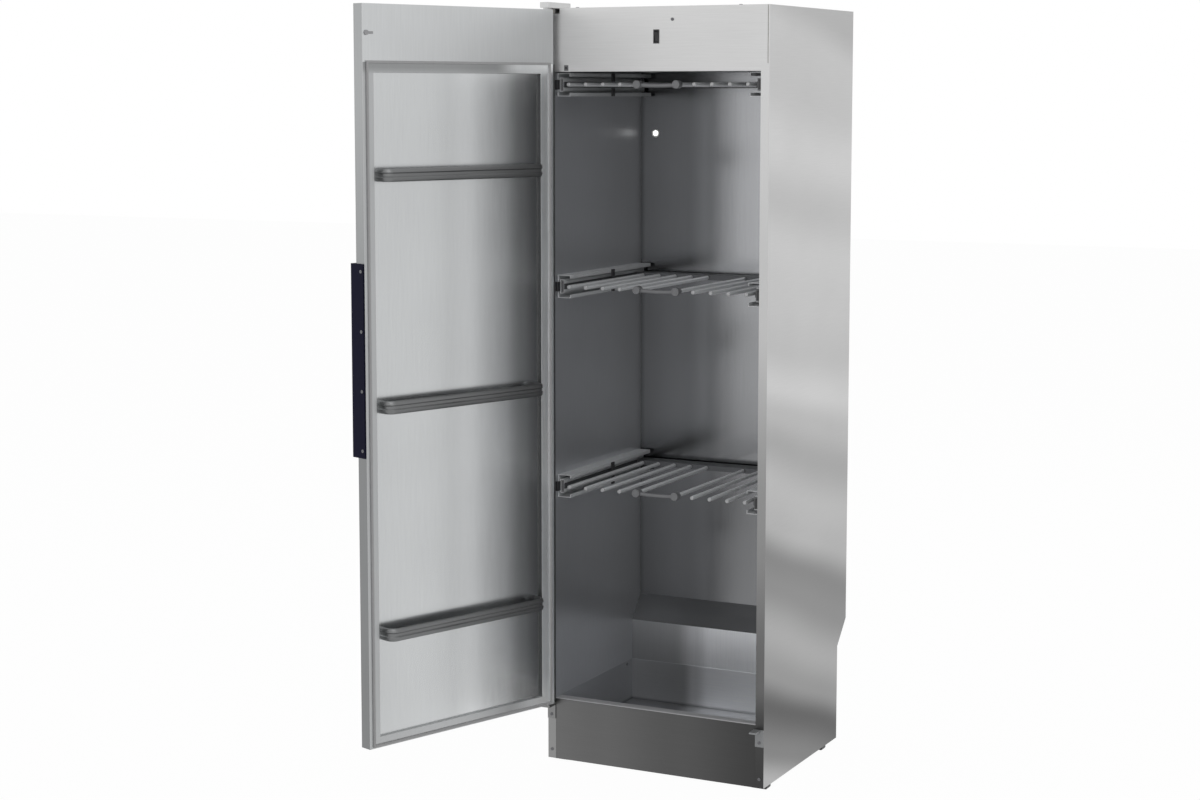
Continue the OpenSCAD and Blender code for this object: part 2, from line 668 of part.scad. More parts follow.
module vent_bush() color("white") difference() {
    union() {
        bar_y(vent_x, liner_y, y_rear, vent_z, vent_r + vent_wall);
        bar_y(vent_x, liner_y - 1, liner_y, vent_z, vent_r + vent_wall + 1.5);
        bar_y(vent_x, y_rear, y_rear + 1, vent_z, vent_r + vent_wall + 1.5);
    }
    bar_y(vent_x, liner_y - 2, y_rear + 2, vent_z, vent_r);
}

module panel_screws() color("darkgray") {
    both_sides() {
        screw_front(-post_screw_x, y_front, post_screw_z[0], long_screw_l);
        screw_front(-post_screw_x, y_front - post_plate_t, post_screw_z[1], long_screw_l);
        for (z = rear_screw_z) screw_rear(-rear_screw_x, y_rear, z, screw_l);
        for (z = rear_screw_low) screw_rear(-rear_screw_x, y_rear - recess_d, z, screw_l);
        for (y = tray_screw_y)
            translate([-liner_x + sheet_t, y, tray_screw_z]) rotate([0, 90, 0]) screw(screw_l);
        translate([-top_screw[0], top_screw[1], cabinet_h]) screw(screw_l);
    }
    screw_front(head_screw[0], y_front, head_screw[1], screw_l);
}

// ---- slides ----

// Left side of one rack level, at the height of the rods
module wall_bracket() {
    difference() {
        slab(-liner_x, -liner_x + bracket_d, slide_y0, slide_y1, -bracket_h / 2, bracket_h / 2);
        slab(-liner_x + bracket_t, -liner_x + bracket_d - bracket_t, slide_y0 - 1, slide_y1 + 1,
            -bracket_h / 2 + bracket_t, bracket_h / 2 - bracket_t);
        slab(-liner_x + bracket_t, -liner_x + bracket_d + 1, slide_y0 - 1, slide_y1 + 1,
            -bracket_h / 2 + bracket_lip, bracket_h / 2 - bracket_lip);
    }
    for (y = [slide_y0 + pad_l, (slide_y0 + slide_y1 - pad_l) / 2, slide_y1 - 2 * pad_l])
        slab(-liner_x + bracket_t, -slide_x, y, y + pad_l, -pad_h / 2, pad_h / 2);
}
module wall_brackets() color("gainsboro") for (z = rack_z) translate([0, 0, z]) both_sides() wall_bracket();

// A channel that opens towards the middle of the cabinet
module channel(x, depth, h, t, y0, y1) difference() {
    slab(-x, -x + depth, y0, y1, -h / 2, h / 2);
    slab(-x + t, -x + depth + 1, y0 - 1, y1 + 1, -h / 2 + t, h / 2 - t);
}
module outer_slides() color("silver") for (z = rack_z) translate([0, 0, z]) both_sides()
    channel(slide_x, outer_lip, slide_h, slide_t, slide_y0, slide_y1);
module carriers(i) color("lightgray") translate([0, 0, rack_z[i]]) both_sides()
    channel(carrier_x, carrier_lip, carrier_h, slide_t, slide_y0 + slide_end_gap, slide_y1 - slide_end_gap);
module runners(i) color("lightgray") translate([0, 0, rack_z[i]]) both_sides()
    slab(-runner_x, -arm_x, slide_y0 + slide_end_gap, slide_y1 - slide_end_gap, -runner_h / 2, runner_h / 2);

// Plastic pieces: a cap in front of each outer slide, and two clips on each bracket's lips
module slide_stops() color([0.08, 0.08, 0.09]) for (z = rack_z) translate([0, 0, z]) both_sides() {
    slab(-liner_x, -slide_x + slide_t, cap_y, slide_y0, -cap_h / 2, cap_h / 2);
    for (side = [0, 1]) mirror([0, 0, side])
        slab(-liner_x + bracket_d, -liner_x + bracket_d + clip_t, clip_y, clip_y + clip_l,
            clip_z, bracket_h / 2);
}

// ---- racks ----

// Rear crossbar with its two side arms, which are fixed to the runners
module rack(i) color("gainsboro") translate([0, 0, rack_z[i]]) {
    difference() {
        slab(-arm_x, arm_x, crossbar_y0, crossbar_y0 + crossbar_d, -crossbar_h / 2, crossbar_h / 2);
        slab(-arm_x + rack_arm_t, arm_x - rack_arm_t, crossbar_y0 + crossbar_t,
            crossbar_y0 + crossbar_d - crossbar_t, -crossbar_h, crossbar_h / 2 - crossbar_t);
    }
    both_sides() slab(-arm_x, -arm_x + rack_arm_t, slide_y0 + slide_end_gap, crossbar_y0 + crossbar_d,
        -crossbar_h / 2, crossbar_h / 2);
}

// Rods that the clothes hang from; the two innermost ones end in bosses joined by a pull bar
module rods(i) color("gainsboro") translate([0, 0, rack_z[i]]) {
    both_sides() for (k = [1 : rods_per_half - 1])
        bar_y(-rod_first_x - k * rod_pitch, rod_y0, crossbar_y0, 0, rod_r);
    union() {
        both_sides() {
            bar_y(-rod_first_x, boss_y0 + 1, crossbar_y0, 0, rod_r);
            bar_y(-rod_first_x, boss_y0, boss_y0 + boss_l, 0, boss_r);
        }
        translate([0, boss_y0 + boss_l / 2, -pull_drop]) rotate([90, 0, 0])
            linear_extrude(2 * pull_r, center = true) polygon(sheet(pull_path, 2 * pull_r));
    }
}

module rack_top() rack(0);
module rack_middle() rack(1);
module rack_bottom() rack(2);
module rods_top() rods(0);
module rods_middle() rods(1);
module rods_bottom() rods(2);
module runners_top() runners(0);
module runners_middle() runners(1);
module runners_bottom() runners(2);
module carriers_top() carriers(0);
module carriers_middle() carriers(1);
module carriers_bottom() carriers(2);

// ---- door ----

module door_bush_holes(r) {
    bar_z(hinge_x, hinge_y, door_z0 - 1, door_z0 + bush_l, r);
    bar_z(hinge_x, hinge_y, door_z1 - bush_l, door_z1 + 1, r);
}
module handle_screw_holes(x0, x1)
    for (z = handle_screw_z) bar_x(x0, x1, handle_screw_y, z, screw_hole_r);

module door_outer_panel() color("lightgray") on_door() difference() {
    union() {
        difference() {
            slab(door_x0, door_x1, door_out_y, door_in_y, door_z0, door_z1);
            slab(door_x0 + sheet_t, door_x1 - sheet_t, door_out_y + sheet_t, door_in_y + 1,
                door_z0 + sheet_t, door_z1 - sheet_t);
        }
        slab(door_x0, door_x1, door_in_y - sheet_t, door_in_y, head_plate_z, door_z1);
    }
    door_bush_holes(bush_r);
    handle_screw_holes(door_x1 - 2 * sheet_t, door_x1 + 1);
}

module door_inner_frame() color("gray") on_door() difference() {
    union() {
        slab(door_x0 + sheet_t, door_x1 - sheet_t, door_in_y - sheet_t, door_in_y,
            door_z0 + sheet_t, head_plate_z);
        slab(panel_x0 - sheet_t, panel_x1 + sheet_t, panel_y, door_in_y,
            panel_z0 - sheet_t, panel_z1 + sheet_t);
    }
    slab(panel_x0, panel_x1, panel_y - 1, door_in_y + 1, panel_z0, panel_z1);
}

module door_inner_panel() color("lightgray") on_door()
    slab(panel_x0 - panel_lap, panel_x1 + panel_lap, panel_y - sheet_t, panel_y,
        panel_z0 - panel_lap, panel_z1 + panel_lap);

module door_insulation() color("khaki") on_door() difference() {
    slab(door_x0 + sheet_t, door_x1 - sheet_t, door_out_y + sheet_t, panel_y - sheet_t,
        door_z0 + sheet_t, door_z1 - sheet_t);
    door_bush_holes(bush_r);
    handle_screw_holes(door_x1 - screw_room, door_x1);
}

module door_seal() color("darkgray") on_door() difference() {
    slab(-seal_x, seal_x, door_in_y, door_in_y + seal_t, seal_z0, seal_z1);
    slab(-seal_x + seal_w, seal_x - seal_w, door_in_y - 1, door_in_y + seal_t + 1,
        seal_z0 + seal_w, seal_z1 - seal_w);
}

// Grooved rail bent to a hoop, its two feet on the inner panel
function rail_path() = concat([[rail_x0, panel_y]],
    arc([rail_x0 + rail_corner_r, panel_y + rail_depth - rail_corner_r], rail_corner_r, 180, 90),
    arc([rail_x1 - rail_corner_r, panel_y + rail_depth - rail_corner_r], rail_corner_r, 90, 0),
    [[rail_x1, panel_y]]);
module door_rail(i) color("dimgray") on_door() translate([0, 0, rail_z[i]]) {
    translate([0, 0, -rail_h / 2]) linear_extrude(rail_h)
        polygon(sheet(moved_path(rail_path(), -rail_groove), -rail_t + 2 * rail_groove));
    for (z = [-rail_h / 2, rail_groove_h / 2]) translate([0, 0, z])
        linear_extrude((rail_h - rail_groove_h) / 2) polygon(sheet(rail_path(), -rail_t));
}
module door_rail_top() door_rail(0);
module door_rail_middle() door_rail(1);
module door_rail_bottom() door_rail(2);

module door_handle() color([0.13, 0.11, 0.18]) on_door() difference() {
    union() {
        slab(door_x1, door_x1 + handle_t, handle_y1, handle_y0,
            handle_z - handle_l / 2, handle_z + handle_l / 2);
        slab(door_x1 - handle_lip, door_x1 + handle_t, handle_y1, handle_y1 + handle_t,
            handle_z - handle_l / 2, handle_z + handle_l / 2);
    }
    handle_screw_holes(door_x1 - 1, door_x1 + handle_t + 1);
}
module handle_screws() color("gray") on_door() for (z = handle_screw_z)
    translate([door_x1 + handle_t, handle_screw_y, z]) rotate([0, 90, 0]) screw(long_screw_l);

module hinge_bushes() color("gainsboro") on_door() difference() {
    union() {
        bar_z(hinge_x, hinge_y, door_z0, door_z0 + bush_l, bush_r);
        bar_z(hinge_x, hinge_y, door_z1 - bush_l, door_z1, bush_r);
    }
    bar_z(hinge_x, hinge_y, door_z0 - 1, door_z1 + 1, pin_r + run_gap);
}

module door_magnet() color([0.1, 0.1, 0.1]) on_door() {
    bar_y(magnet_x, door_in_y, door_in_y + 2.5, magnet_z, 6);
    slab(magnet_x - 19, magnet_x, door_in_y, door_in_y + 2, magnet_z - 3, magnet_z + 3);
}

side_panel_left();
side_panel_right();
side_liners();
back_liner_upper();
back_liner_lower();
wall_insulation();
back_cover_upper();
back_cover_lower();
floor_tray();
base_plate();
kick_panel();
header_panel();
top_panel();
ceiling_plate();
exhaust_collar();
heater();
fan_housing();
fan_motor();
thermostat();
control_box();
cable_gland();
rocker_housing();
door_switch();
glides();
hinge_arm_top();
hinge_arm_bottom();
hinge_pins();
door_rest();
vent_bush();
panel_screws();
slide_stops();
wall_brackets();
outer_slides();
door_outer_panel();
door_inner_frame();
door_inner_panel();
door_insulation();
door_seal();
door_rail_top();
door_rail_middle();
door_rail_bottom();
door_handle();
handle_screws();
hinge_bushes();
door_magnet();
fan_impeller();
rocker();
switch_plunger();
rack_top();
rack_middle();
rack_bottom();
rods_top();
rods_middle();
rods_bottom();
runners_top();
runners_middle();
runners_bottom();
carriers_top();
carriers_middle();
carriers_bottom();
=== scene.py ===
# %% [markdown]
# # A drying cabinet in brushed steel
#
# The cabinet is a tall steel box with one door, three pull-out racks and a fan in its header. Its exact solids
# come from a CAD model. This script dresses them: it rounds the folds of the sheet metal, models the rails,
# rods, screws and seals by hand, and gives each surface its finish.

# %% Load the frame
import bpy
import bmesh
import json
import math
from mathutils import Matrix, Vector

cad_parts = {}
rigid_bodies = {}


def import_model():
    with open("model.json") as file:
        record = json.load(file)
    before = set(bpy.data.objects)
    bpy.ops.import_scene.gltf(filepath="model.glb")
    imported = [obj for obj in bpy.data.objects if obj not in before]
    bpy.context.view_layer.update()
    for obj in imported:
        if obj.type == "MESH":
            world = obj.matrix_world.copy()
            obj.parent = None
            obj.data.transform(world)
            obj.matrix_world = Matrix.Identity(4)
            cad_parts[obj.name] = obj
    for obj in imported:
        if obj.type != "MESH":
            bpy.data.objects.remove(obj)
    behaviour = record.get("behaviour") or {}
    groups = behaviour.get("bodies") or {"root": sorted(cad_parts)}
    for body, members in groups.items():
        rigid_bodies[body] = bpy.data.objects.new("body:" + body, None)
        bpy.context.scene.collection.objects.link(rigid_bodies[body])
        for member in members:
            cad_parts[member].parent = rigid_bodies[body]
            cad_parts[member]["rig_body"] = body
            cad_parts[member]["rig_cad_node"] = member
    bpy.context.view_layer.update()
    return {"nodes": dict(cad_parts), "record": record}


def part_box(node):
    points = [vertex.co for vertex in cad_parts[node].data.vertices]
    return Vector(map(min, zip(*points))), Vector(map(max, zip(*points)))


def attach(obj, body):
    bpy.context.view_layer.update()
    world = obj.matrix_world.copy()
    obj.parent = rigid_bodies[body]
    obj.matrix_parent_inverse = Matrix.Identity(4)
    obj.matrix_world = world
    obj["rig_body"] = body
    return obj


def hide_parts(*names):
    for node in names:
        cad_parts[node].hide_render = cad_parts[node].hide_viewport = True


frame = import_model()
nodes = frame["nodes"]
scene = bpy.context.scene

# %% [markdown]
# ## Camera
#
# The photograph was taken from the right, a little above the middle, with a long lens. The tall sides of the
# cabinet stay almost parallel in it. A large lens shift alone would do that, but it would push the cabinet out
# of every other view, so a small shift and a gentle downward pitch share the work.

# %% Camera
CAMERA_PLACE = (2.3748, -5.2921, 1.7139)
CAMERA_YAW = 26.922
CAMERA_PITCH = 6.473
CAMERA_LENS = 67.695
CAMERA_SHIFT = (0.0054, -0.042)
SENSOR = 36
FAR_END = 60

bpy.ops.object.camera_add(
    location=CAMERA_PLACE,
    rotation=(math.radians(90 - CAMERA_PITCH), 0, math.radians(CAMERA_YAW)),
)
camera = bpy.context.object
camera.name = "photo_camera"
camera.data.sensor_width = SENSOR
camera.data.lens = CAMERA_LENS
camera.data.shift_x, camera.data.shift_y = CAMERA_SHIFT
camera.data.clip_end = FAR_END
scene.camera = camera
print("camera at", CAMERA_PLACE)

# %% [markdown]
# ## Helpers
#
# Every piece is made the way it would be made by hand: a primitive or a copy of a solid, then edit-mode
# operators, then modifiers that are applied. An operator works on what is selected, so each step starts by
# selecting one piece alone. These helpers do that.


# %% Selection
def only(piece):
    """Makes one object the only selected and active one."""
    bpy.ops.object.select_all(action="DESELECT")
    piece.select_set(True)
    bpy.context.view_layer.objects.active = piece


def edit(piece, mode="FACE"):
    """Opens a piece in edit mode with nothing selected."""
    only(piece)
    bpy.ops.object.mode_set(mode="EDIT")
    bpy.ops.mesh.select_mode(type=mode)
    bpy.ops.mesh.select_all(action="DESELECT")


def everything():
    """Selects the whole mesh in edit mode."""
    bpy.ops.mesh.select_all(action="SELECT")


def done():
    """Closes edit mode."""
    bpy.ops.object.mode_set(mode="OBJECT")


def latest(name):
    """Names the object that an operator has just made and selected."""
    bpy.context.object.name = name
    return bpy.context.object


def settle(piece):
    """Puts the place, turn and size of an object into its mesh."""
    only(piece)
    bpy.ops.object.transform_apply(location=True, rotation=True, scale=True)
    return piece


# %% [markdown]
# ## Rounded edges
#
# No edge of a real sheet or casting is knife-sharp: it catches a thin line of light. A bevel modifier on the
# edges that are sharper than an angle gives that line. The weighted normals after it keep the large faces flat,
# so that the shading doesn't bulge towards the small bevels.

# %% A bevel that is applied
SHARP_OVER, SMOOTH_UNDER = 30, 50


def rounded(piece, width, segments):
    """Rounds the sharp edges."""
    only(piece)
    bevel = piece.modifiers.new("round", "BEVEL")
    bevel.width = width
    bevel.segments = segments
    bevel.limit_method = "ANGLE"
    bevel.angle_limit = math.radians(SHARP_OVER)
    bpy.ops.object.modifier_apply(modifier="round")
    bpy.ops.object.shade_smooth_by_angle(angle=math.radians(SMOOTH_UNDER))
    flat = piece.modifiers.new("flat", "WEIGHTED_NORMAL")
    flat.keep_sharp = True
    bpy.ops.object.modifier_apply(modifier="flat")
    return piece


# %% [markdown]
# ## Main sizes
#
# The sizes come from the solids themselves, so the pieces stay where the CAD model has them, also when a size
# changes there. The script thinks in millimetres, and Blender in metres.

# %% Sizes read from the frame
MM = 0.001


def corners(node):
    """Lowest and highest corner of a node in millimetres."""
    low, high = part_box(node)
    return [v / MM for v in low], [v / MM for v in high]


def middle_of(box):
    """The middle between two corners."""
    return [(a + b) / 2 for a, b in zip(*box)]


joints = {joint["name"]: joint for joint in frame["record"]["behaviour"]["joints"]}
HINGE = [v / MM for v in joints["door_hinge"]["pos_m"]]
DOOR_OPEN = -joints["door_hinge"]["range_deg"][0]
FRONT = corners("header_panel")[0][1]
TOP = corners("top_panel")[1][2]
HALF = corners("top_panel")[1][0]
print("hinge", [round(v, 1) for v in HINGE], "door open", DOOR_OPEN, "front", round(FRONT, 1))

# %% [markdown]
# ## Finishes
#
# Brushed stainless steel is a metal whose colour hardly varies. What the eye reads as brushing is a set of very
# long, thin streaks of slightly different roughness and tone. An image texture could show them, but a noise
# texture that is stretched along the brush direction needs no image and never repeats. Object coordinates keep
# the grain at its real size on every sheet. The first helpers wire up nodes.


# %% Nodes and arithmetic
def material(name):
    """A new material, its node tree and its main shader."""
    mat = bpy.data.materials.new(name)
    mat.use_nodes = True
    tree = mat.node_tree
    return mat, tree, tree.nodes["Principled BSDF"]


def node(tree, kind, **values):
    """A new node with its inputs or properties set."""
    made = tree.nodes.new(kind)
    for key, value in values.items():
        if key in made.inputs:
            made.inputs[key].default_value = value
        else:
            setattr(made, key, value)
    return made


def feed(tree, socket, source):
    """Links a socket to another socket, or gives it a plain value."""
    if isinstance(source, bpy.types.NodeSocket):
        tree.links.new(source, socket)
    else:
        socket.default_value = source


def calc(tree, operation, *sources, clamp=False):
    """The result of a math node on sockets or numbers."""
    made = node(tree, "ShaderNodeMath", operation=operation, use_clamp=clamp)
    for socket, source in zip(made.inputs, sources):
        feed(tree, socket, source)
    return made.outputs[0]


def blend_colors(tree, kind, amount, first, second):
    """The result of a mix node on two colours."""
    made = node(tree, "ShaderNodeMix", data_type="RGBA", blend_type=kind)
    feed(tree, made.inputs["Factor"], amount)
    for socket, source in zip([s for s in made.inputs if s.type == "RGBA"], (first, second)):
        feed(tree, socket, source)
    return [s for s in made.outputs if s.type == "RGBA"][0]


# %% Textures and ramps
def place(tree, scale=(1, 1, 1)):
    """Object coordinates, stretched by a scale."""
    coordinates = node(tree, "ShaderNodeTexCoord")
    mapping = node(tree, "ShaderNodeMapping", Scale=scale)
    tree.links.new(coordinates.outputs["Object"], mapping.inputs["Vector"])
    return mapping.outputs["Vector"]


def place_parts(tree):
    """The X, Y and Z of the object coordinates."""
    split = node(tree, "ShaderNodeSeparateXYZ")
    tree.links.new(place(tree), split.inputs[0])
    return split.outputs


def noise(tree, scale, size, detail=3.0):
    """A noise texture, stretched by a scale."""
    made = node(tree, "ShaderNodeTexNoise", Scale=size, Detail=detail, Roughness=0.6)
    tree.links.new(place(tree, scale), made.inputs["Vector"])
    return made.outputs["Fac"]


def ranged(tree, value, low, high, from_low=0.3, from_high=0.7):
    """A value moved from one range to another; the first one suits a noise texture."""
    made = node(tree, "ShaderNodeMapRange")
    for name, limit in (("From Min", from_low), ("From Max", from_high), ("To Min", low), ("To Max", high)):
        made.inputs[name].default_value = limit
    tree.links.new(value, made.inputs["Value"])
    return made.outputs["Result"]


def ramp(tree, value, stops):
    """A smooth grey ramp through (place, tone) stops."""
    made = node(tree, "ShaderNodeValToRGB")
    made.color_ramp.interpolation = "EASE"
    bar = made.color_ramp.elements
    while len(bar) < len(stops):
        bar.new(0.5)
    for element, (where, tone) in zip(bar, sorted(stops)):
        element.position = where
        element.color = (tone, tone, tone, 1)
    tree.links.new(value, made.inputs["Fac"])
    return made.outputs["Color"]


# %% [markdown]
# ## Brushed steel
#
# One recipe serves every sheet. The streaks drive tone, roughness and a very shallow bump together, as real
# scratches do, and a large soft noise lets the tone drift. Bands of painted reflection and shade are laid over
# it.

# %% Brushed steel
STREAK = 90.0
ALONG = {"x": (0.02, 1, 1), "y": (1, 0.02, 1), "z": (1, 1, 0.02)}


def bumped(tree, shader, source, strength, distance):
    """Lets a texture raise the surface a little."""
    height = node(tree, "ShaderNodeBump", Strength=strength, Distance=distance)
    tree.links.new(source, height.inputs["Height"])
    tree.links.new(height.outputs["Normal"], shader.inputs["Normal"])


def brushed(name, tone, rough, along="z", tint=(1.0, 1.0, 1.0), bump=0.005, bands=None, gloss=None):
    """Brushed steel whose grain runs along one axis, with soft bands of painted reflection and shade, and gloss
    if wanted.
    """
    mat, tree, shader = material(name)
    shader.inputs["Metallic"].default_value = 1.0
    shader.inputs["Anisotropic"].default_value = 0.35
    streaks = noise(tree, [v * STREAK for v in ALONG[along]], 6.0)
    cloud = noise(tree, (1.0, 1.0, 1.0), 2.2, detail=2.0)
    drift = calc(tree, "MULTIPLY", ranged(tree, streaks, 0.965, 1.03), ranged(tree, cloud, 0.96, 1.03))
    color = blend_colors(tree, "MULTIPLY", 1.0, [tone * t for t in tint] + [1.0], drift)
    # painted reflection and shade, laid over the steel's own tone
    if bands:
        color = blend_colors(tree, "MULTIPLY", 1.0, color, bands(tree))
    tree.links.new(color, shader.inputs["Base Color"])
    grain = ranged(tree, streaks, rough - 0.015, rough + 0.02)
    if gloss:
        grain = calc(tree, "ADD", grain, gloss(tree))
    tree.links.new(grain, shader.inputs["Roughness"])
    bumped(tree, shader, streaks, bump, 0.001)
    return mat


# %% [markdown]
# ## What the sheets mirror
#
# A real sheet mirrors its room, and this studio is plain white. So the mirrored room is painted on as soft
# tones: a painted reflection.
# The outer side shows nearly level bands, darker towards the floor, with one bright stripe at the very bottom.
# They follow the height, lean to the rear, and are bent by a slow noise, as a wavy sheet bends them.

# %% Painted reflection bands of the side sheets
# height and tone of the painted reflection on the side sheets
SIDE_REFLECTION_STOPS = (
    (0.00, 0.66), (0.035, 0.30), (0.085, 0.13), (0.125, 0.44), (0.175, 0.60), (0.235, 0.38), (0.27, 0.34),
    (0.315, 0.68), (0.36, 0.74), (0.41, 0.58), (0.45, 0.72), (0.49, 0.90), (0.55, 0.76), (0.62, 0.82),
    (0.68, 0.86), (0.745, 0.76), (0.81, 0.90), (0.88, 0.78), (0.95, 0.80), (1.00, 0.64),
)
LEFT_POST_REFLECTION = ((0.00, 0.42), (1.00, 0.42))
RIGHT_POST_REFLECTION = (
    (0.00, 0.08), (0.09, 0.10), (0.14, 0.20), (0.37, 0.43), (0.62, 0.78), (0.88, 0.86), (1.00, 0.86),
)
BAND_LEAN, BAND_WAVE = 0.20, 0.03
LEAN_UP_TO = 0.9
POST_DEPTH = 0.6


def height_of(tree, lean=0.0, wave=0.0):
    """Height from 0 at the floor to 1 at the top, leaned to the rear, more so low down, and bent."""
    spot = place_parts(tree)
    bent = ranged(tree, noise(tree, (0.2, 0.6, 1.0), 1.6, detail=1.0), -wave, wave)
    depth = calc(tree, "SUBTRACT", spot["Y"], FRONT * MM)
    slant = ranged(tree, spot["Z"], lean * 2, lean, 0.0, LEAN_UP_TO)
    total = calc(tree, "ADD", spot["Z"], calc(tree, "MULTIPLY_ADD", depth, slant, bent))
    start = -lean * FRONT * MM
    return ranged(tree, total, 0.0, 1.0, start, start + TOP * MM), spot


def side_painted_reflection(tree, post=RIGHT_POST_REFLECTION):
    """Painted reflection in soft bands on the side, and a plain painted fade on its narrow front post; the left
    one is painted as if it stood in more light.
    """
    level, _ = height_of(tree, BAND_LEAN, BAND_WAVE)
    straight, spot = height_of(tree)
    on_post = calc(tree, "LESS_THAN", spot["Y"], (FRONT + POST_DEPTH) * MM)
    return blend_colors(tree, "MIX", on_post, ramp(tree, level, SIDE_REFLECTION_STOPS), ramp(tree, straight, post))


print("bands on the side:", len(SIDE_REFLECTION_STOPS))

# %% [markdown]
# The chamber's walls mirror each other, so their painted reflections and painted shade change with the place
# along
# one axis: across the back wall, up the side walls, and over the tray. One helper turns stops in millimetres
# into such a ramp. Painting these on with vertex colours would tie them to the mesh, while a ramp stays right
# when the mesh changes.

# %% Painted light and shade of the chamber
LOW_ZONE = (230, 400)


def across(tree, stops, axis="X", low=-HALF, high=HALF):
    """A grey tone by the place along one axis, in millimetres."""
    share = ranged(tree, place_parts(tree)[axis], 0.0, 1.0, low * MM, high * MM)
    return ramp(tree, share, tuple(((where - low) / (high - low), tone) for where, tone in stops))


def upwards(tree, stops):
    """A grey tone by the height in millimetres."""
    return across(tree, stops, "Z", 0, TOP)


def kick_painted_reflection(tree):
    """Painted reflection: the kick panel mirrors the floor in front of it, and is painted lighter at the door's
    side.
    """
    return across(tree, ((-HALF, 0.92), (-150, 0.78), (60, 0.55), (HALF, 0.32)))


def back_painted_reflection(tree):
    """Painted reflection: the back wall mirrors the dark side wall on its left and the room on its right, less
    so lower down.
    """
    upper = across(tree, ((-279, 0.20), (-262, 0.36), (-140, 0.38), (-80, 0.53), (-30, 0.78), (20, 0.90)))
    lower = across(tree, ((-279, 0.18), (-262, 0.25), (-140, 0.28), (-80, 0.33), (-30, 0.39), (20, 0.42)))
    share = upwards(tree, ((0, 1.0), (600, 1.0), (1000, 0.45), (1350, 0.0), (TOP, 0.0)))
    return blend_colors(tree, "MIX", share, upper, lower)


def low_wall_painted_light(tree):
    """Painted light: below the slope the wall is painted brighter on the right."""
    return across(tree, ((-278, 0.39), (-150, 0.40), (-88, 0.72), (-40, 1.0)))


def tray_painted_light(tree):
    """The tray's walls carry the wall's painted light on downwards; its floor gets painted shadow."""
    floor_z = corners("floor_tray")[0][2] + 2
    up = upwards(tree, ((0, 0.44), (floor_z, 0.44), (floor_z + 4, 1.0), (TOP, 1.0)))
    side = across(tree, ((-278, 0.50), (-125, 0.42), (-90, 0.70), (-45, 1.0)))
    return blend_colors(tree, "MULTIPLY", 1.0, up, side)


def chamber_painted_light(tree):
    """Painted light on the side walls: lightest below the middle, and a little lighter half-way to the rear."""
    low, high = LOW_ZONE
    up = upwards(tree, (
        (0, 0.70), (low, 0.70), (high, 0.72), (700, 0.84), (1100, 0.68), (1500, 0.60), (TOP, 0.58),
    ))
    back = across(tree, ((FRONT, 0.88), (0, 0.97), (240, 0.86)), "Y", FRONT, 240)
    return blend_colors(tree, "MULTIPLY", 1.0, up, back)


def chamber_gloss(tree):
    """Low down the walls mirror less."""
    return upwards(tree, ((0, 0.06), (LOW_ZONE[0], 0.06), (LOW_ZONE[1], 0.0), (TOP, 0.0)))


print("low zone of the walls:", LOW_ZONE)

# %% [markdown]
# The open door stands beside the dark chamber and mirrors it in a soft band along its hinge side, which is
# painted on as a reflection. The same helper paints this reflection and shade on its inner sheet, its frame and
# its rails.

# %% Painted reflection and shade across the open door
FREE_Y, HINGE_Y = -900, -290


def over_door(tree, stops):
    """A grey tone from the open door's free edge to its hinge."""
    return across(tree, stops, "Y", FREE_Y, HINGE_Y)


def frame_painted_reflection(tree):
    """Painted reflection: the inner frame is lighter on the hinge side, and its top band has painted tones of
    its own.
    """
    band_z = corners("door_inner_panel")[1][2]
    side = over_door(tree, ((FREE_Y, 0.45), (-450, 0.54), (-352, 1.0), (HINGE_Y, 1.0)))
    band = over_door(tree, ((FREE_Y, 0.30), (-480, 0.36), (-400, 0.85), (HINGE_Y, 1.0)))
    share = upwards(tree, ((0, 0.0), (band_z - 14, 0.0), (band_z + 4, 1.0), (TOP, 1.0)))
    return blend_colors(tree, "MIX", share, side, band)


def door_painted_reflection(tree):
    """Painted reflection of the dark chamber on the inner sheet's hinge side."""
    return over_door(tree, (
        (FREE_Y, 0.56), (-620, 0.63), (-530, 0.84), (-450, 0.92), (-390, 0.62), (-345, 0.42), (HINGE_Y, 0.36),
    ))


def rail_painted_shade(tree):
    """Painted shade: the rails get darker towards the hinge."""
    return over_door(tree, ((FREE_Y, 1.0), (-600, 1.0), (-400, 0.80), (HINGE_Y, 0.55)))


print("the open door reaches from y", FREE_Y, "to", HINGE_Y)

# %% [markdown]
# ## Plain finishes
#
# Plastic, rubber, paint and small parts of dull metal need no direction. One fine noise varies their tone,
# gloss and surface together, just enough that they don't look like a flat colour.


# %% Plain finish
def plain(name, color, rough, metal=0.0, grain=0.04, size=60.0, bump=0.05, shine=0.5):
    """Plastic, rubber or paint with a fine grain in tone, gloss and surface."""
    mat, tree, shader = material(name)
    shader.inputs["Metallic"].default_value = metal
    shader.inputs["Specular IOR Level"].default_value = shine
    speck = noise(tree, (1, 1, 1), size, detail=4.0)
    tone = ranged(tree, speck, 1 - grain, 1 + grain)
    color = blend_colors(tree, "MULTIPLY", 1.0, list(color) + [1.0], tone)
    tree.links.new(color, shader.inputs["Base Color"])
    tree.links.new(ranged(tree, speck, rough - 0.05, rough + 0.05), shader.inputs["Roughness"])
    bumped(tree, shader, speck, bump, 0.0005)
    return mat


